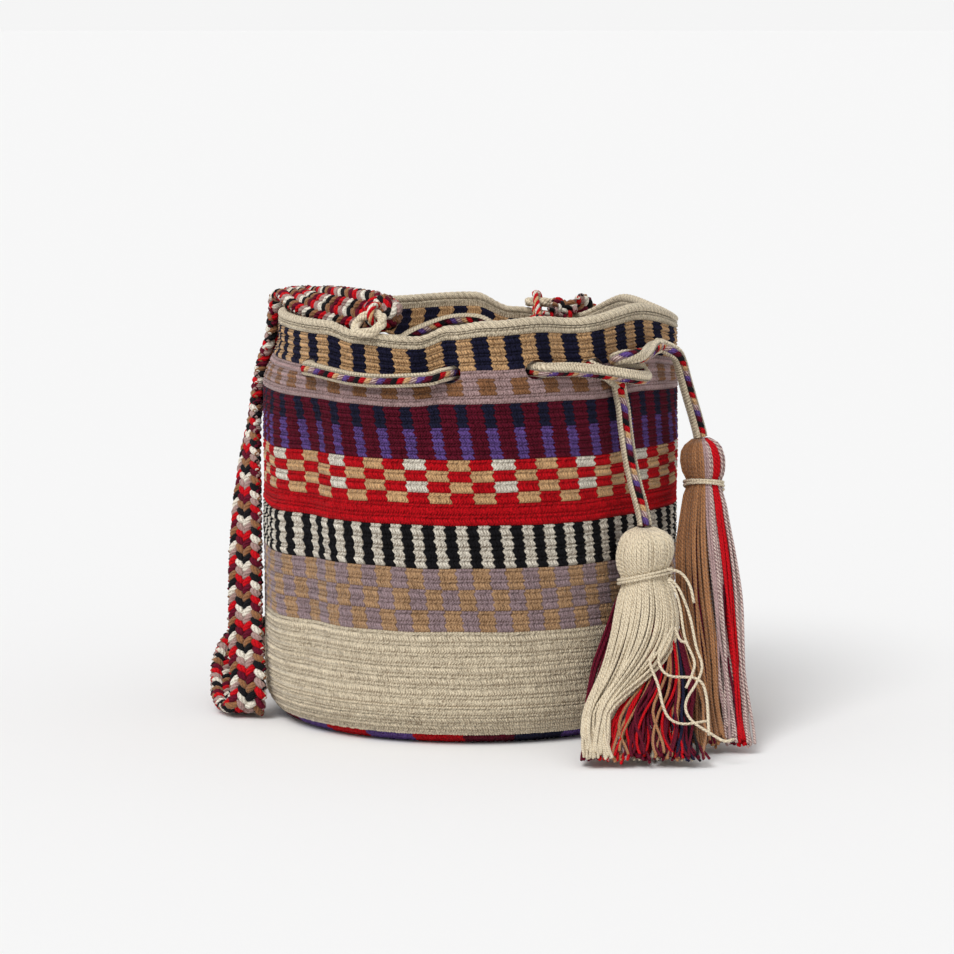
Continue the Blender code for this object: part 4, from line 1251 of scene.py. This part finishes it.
def make_binding(name, shape):
    """The yarn wound round a tassel's neck."""
    middle, gone, *_ = tassel_frame(shape)
    distance, neck_radius = shape["neck"]
    radius = neck_radius + BINDING_RADIUS + SEAT_GAP
    pitch = 2 * BINDING_RADIUS + SEAT_GAP
    heading = unit(np.gradient(middle, axis=0))
    route = []
    for n in range(BINDING_TURNS * BINDING_POINTS + 1):
        turns = n / BINDING_POINTS
        at = distance + (turns - BINDING_TURNS / 2) * pitch
        place, toward = at_distance(at, gone, middle), Vector(at_distance(at, gone, heading))
        side = toward.cross(Vector((0, 1, 0))).normalized()
        away = np.array(Matrix.Rotation(math.tau * turns, 3, toward) @ side)
        route.append(place + away * radius - np.array(toward) * (shape["neck_tilt"] * away[0]))
    cloth = Cloth()
    add_twist(cloth, smooth_curve(route, 4), BINDING_TWIST, ("cream",) * 2)
    return cloth.piece(f"{name}_yarn", shape["slot"], name)


# Loose cream yarns of the front tassel, as pixels of the photograph from the neck down
STRAY_PX = (
    ((667, 569), (681, 573), (690, 586), (694, 603)),
    ((669, 578), (676, 585), (682, 595), (690, 617), (696, 646), (702, 666), (697, 682), (687, 699),
     (686, 711), (693, 722), (708, 732), (724, 741), (734, 739)),
    ((668, 580), (675, 590), (680, 607), (685, 638), (694, 660), (693, 672), (686, 688)),
    ((673, 626), (660, 652), (660, 666), (670, 676), (697, 679), (706, 695), (709, 735)),
    ((655, 652), (650, 663), (658, 685), (663, 706), (670, 719), (684, 724), (707, 721)),
    ((675, 627), (680, 640), (688, 643)),
)
STRAY_PROUD = 0.0022
STRAY_STEP = 0.002
# Each of their points is found from a first guess of how far forward it lies, in so many tries
FORWARD_GUESS = 0.11
FORWARD_TRIES = 12


def add_strays(cloth, made):
    """Yarns that lie loose on the front of the skirt."""
    middle, gone, across, out, wide, thick = made
    front = middle + out * (thick + STRAY_PROUD)[:, None]
    order = np.argsort(front[:, 2])
    for route in STRAY_PX:
        line = []
        for x, y in route:
            forward = FORWARD_GUESS
            for _ in range(FORWARD_TRIES):
                place = at_pixel(x, y, forward)
                forward = -float(np.interp(place[2], front[order, 2], front[order, 1]))
            place[2] = max(place[2], FLOOR_CLEAR)
            line.append(place)
        line = spaced(smooth_curve(line), STRAY_STEP)
        add_yarn(cloth, line, lengths(line), 0.0, "cream")


front, made = make_tassel(FRONT_TASSEL, front_colours, front_sweep)
add_strays(front, made)
front.piece("tassel_front_yarns", FRONT_TASSEL["slot"], "tassel_front")
right, _ = make_tassel(RIGHT_TASSEL, right_colours, right_sweep)
right.piece("tassel_right_yarns", RIGHT_TASSEL["slot"], "tassel_right")
make_binding("tassel_front_binding", FRONT_TASSEL)
make_binding("tassel_right_binding", RIGHT_TASSEL)


# Floor, background and light
FLOOR_HALF = 60.0
FLOOR_GREY = 0.87
FLOOR_ROUGHNESS = 0.9
FLOOR_SPECULAR = 0.1
WORLD_LIGHT = 0.62
BACKDROP_GREY = 0.915
KEY_FROM = (-0.45, -0.75, 1.05)
KEY_STRENGTH = 1.85
KEY_SPREAD = 32


def make_floor():
    mesh = bpy.data.meshes.new("floor")
    far = FLOOR_HALF
    mesh.from_pydata([(-far, -far, 0), (far, -far, 0), (far, far, 0), (-far, far, 0)], [], [(0, 1, 2, 3)])
    pale = bpy.data.materials.new("floor_pale")
    pale.use_nodes = True
    set_inputs(pale.node_tree.nodes["Principled BSDF"], {
        "Base Color": (FLOOR_GREY, FLOOR_GREY, FLOOR_GREY, 1),
        "Roughness": FLOOR_ROUGHNESS,
        "Specular IOR Level": FLOOR_SPECULAR,
    })
    mesh.materials.append(pale)
    add_object("floor", mesh)


def make_world():
    """White light from all round. The camera, reflections and transmission see a pale backdrop instead."""
    world = bpy.data.worlds.new("world")
    bpy.context.scene.world = world
    world.use_nodes = True
    tree = world.node_tree
    light = tree.nodes["Background"]
    set_inputs(light, {"Color": (1, 1, 1, 1), "Strength": WORLD_LIGHT})
    seen = tree.nodes.new("ShaderNodeBackground")
    set_inputs(seen, {"Color": (BACKDROP_GREY, BACKDROP_GREY, BACKDROP_GREY, 1)})
    rays = tree.nodes.new("ShaderNodeLightPath").outputs
    straight = add_math(tree, "MAXIMUM", rays["Is Camera Ray"], rays["Is Glossy Ray"])
    straight = add_math(tree, "MAXIMUM", straight, rays["Is Transmission Ray"])
    mix = tree.nodes.new("ShaderNodeMixShader")
    for source, socket in zip((straight, light.outputs[0], seen.outputs[0]), mix.inputs):
        tree.links.new(source, socket)
    tree.links.new(mix.outputs[0], tree.nodes["World Output"].inputs["Surface"])


def make_key_light():
    """A wide sun from above the front left."""
    data = bpy.data.lights.new("key", "SUN")
    data.energy = KEY_STRENGTH
    data.angle = math.radians(KEY_SPREAD)
    lamp = add_object("key", data)
    lamp.rotation_euler = Vector(KEY_FROM).to_track_quat("Z", "Y").to_euler()


make_floor()
make_world()
make_key_light()
bpy.context.scene.view_settings.view_transform = "Standard"
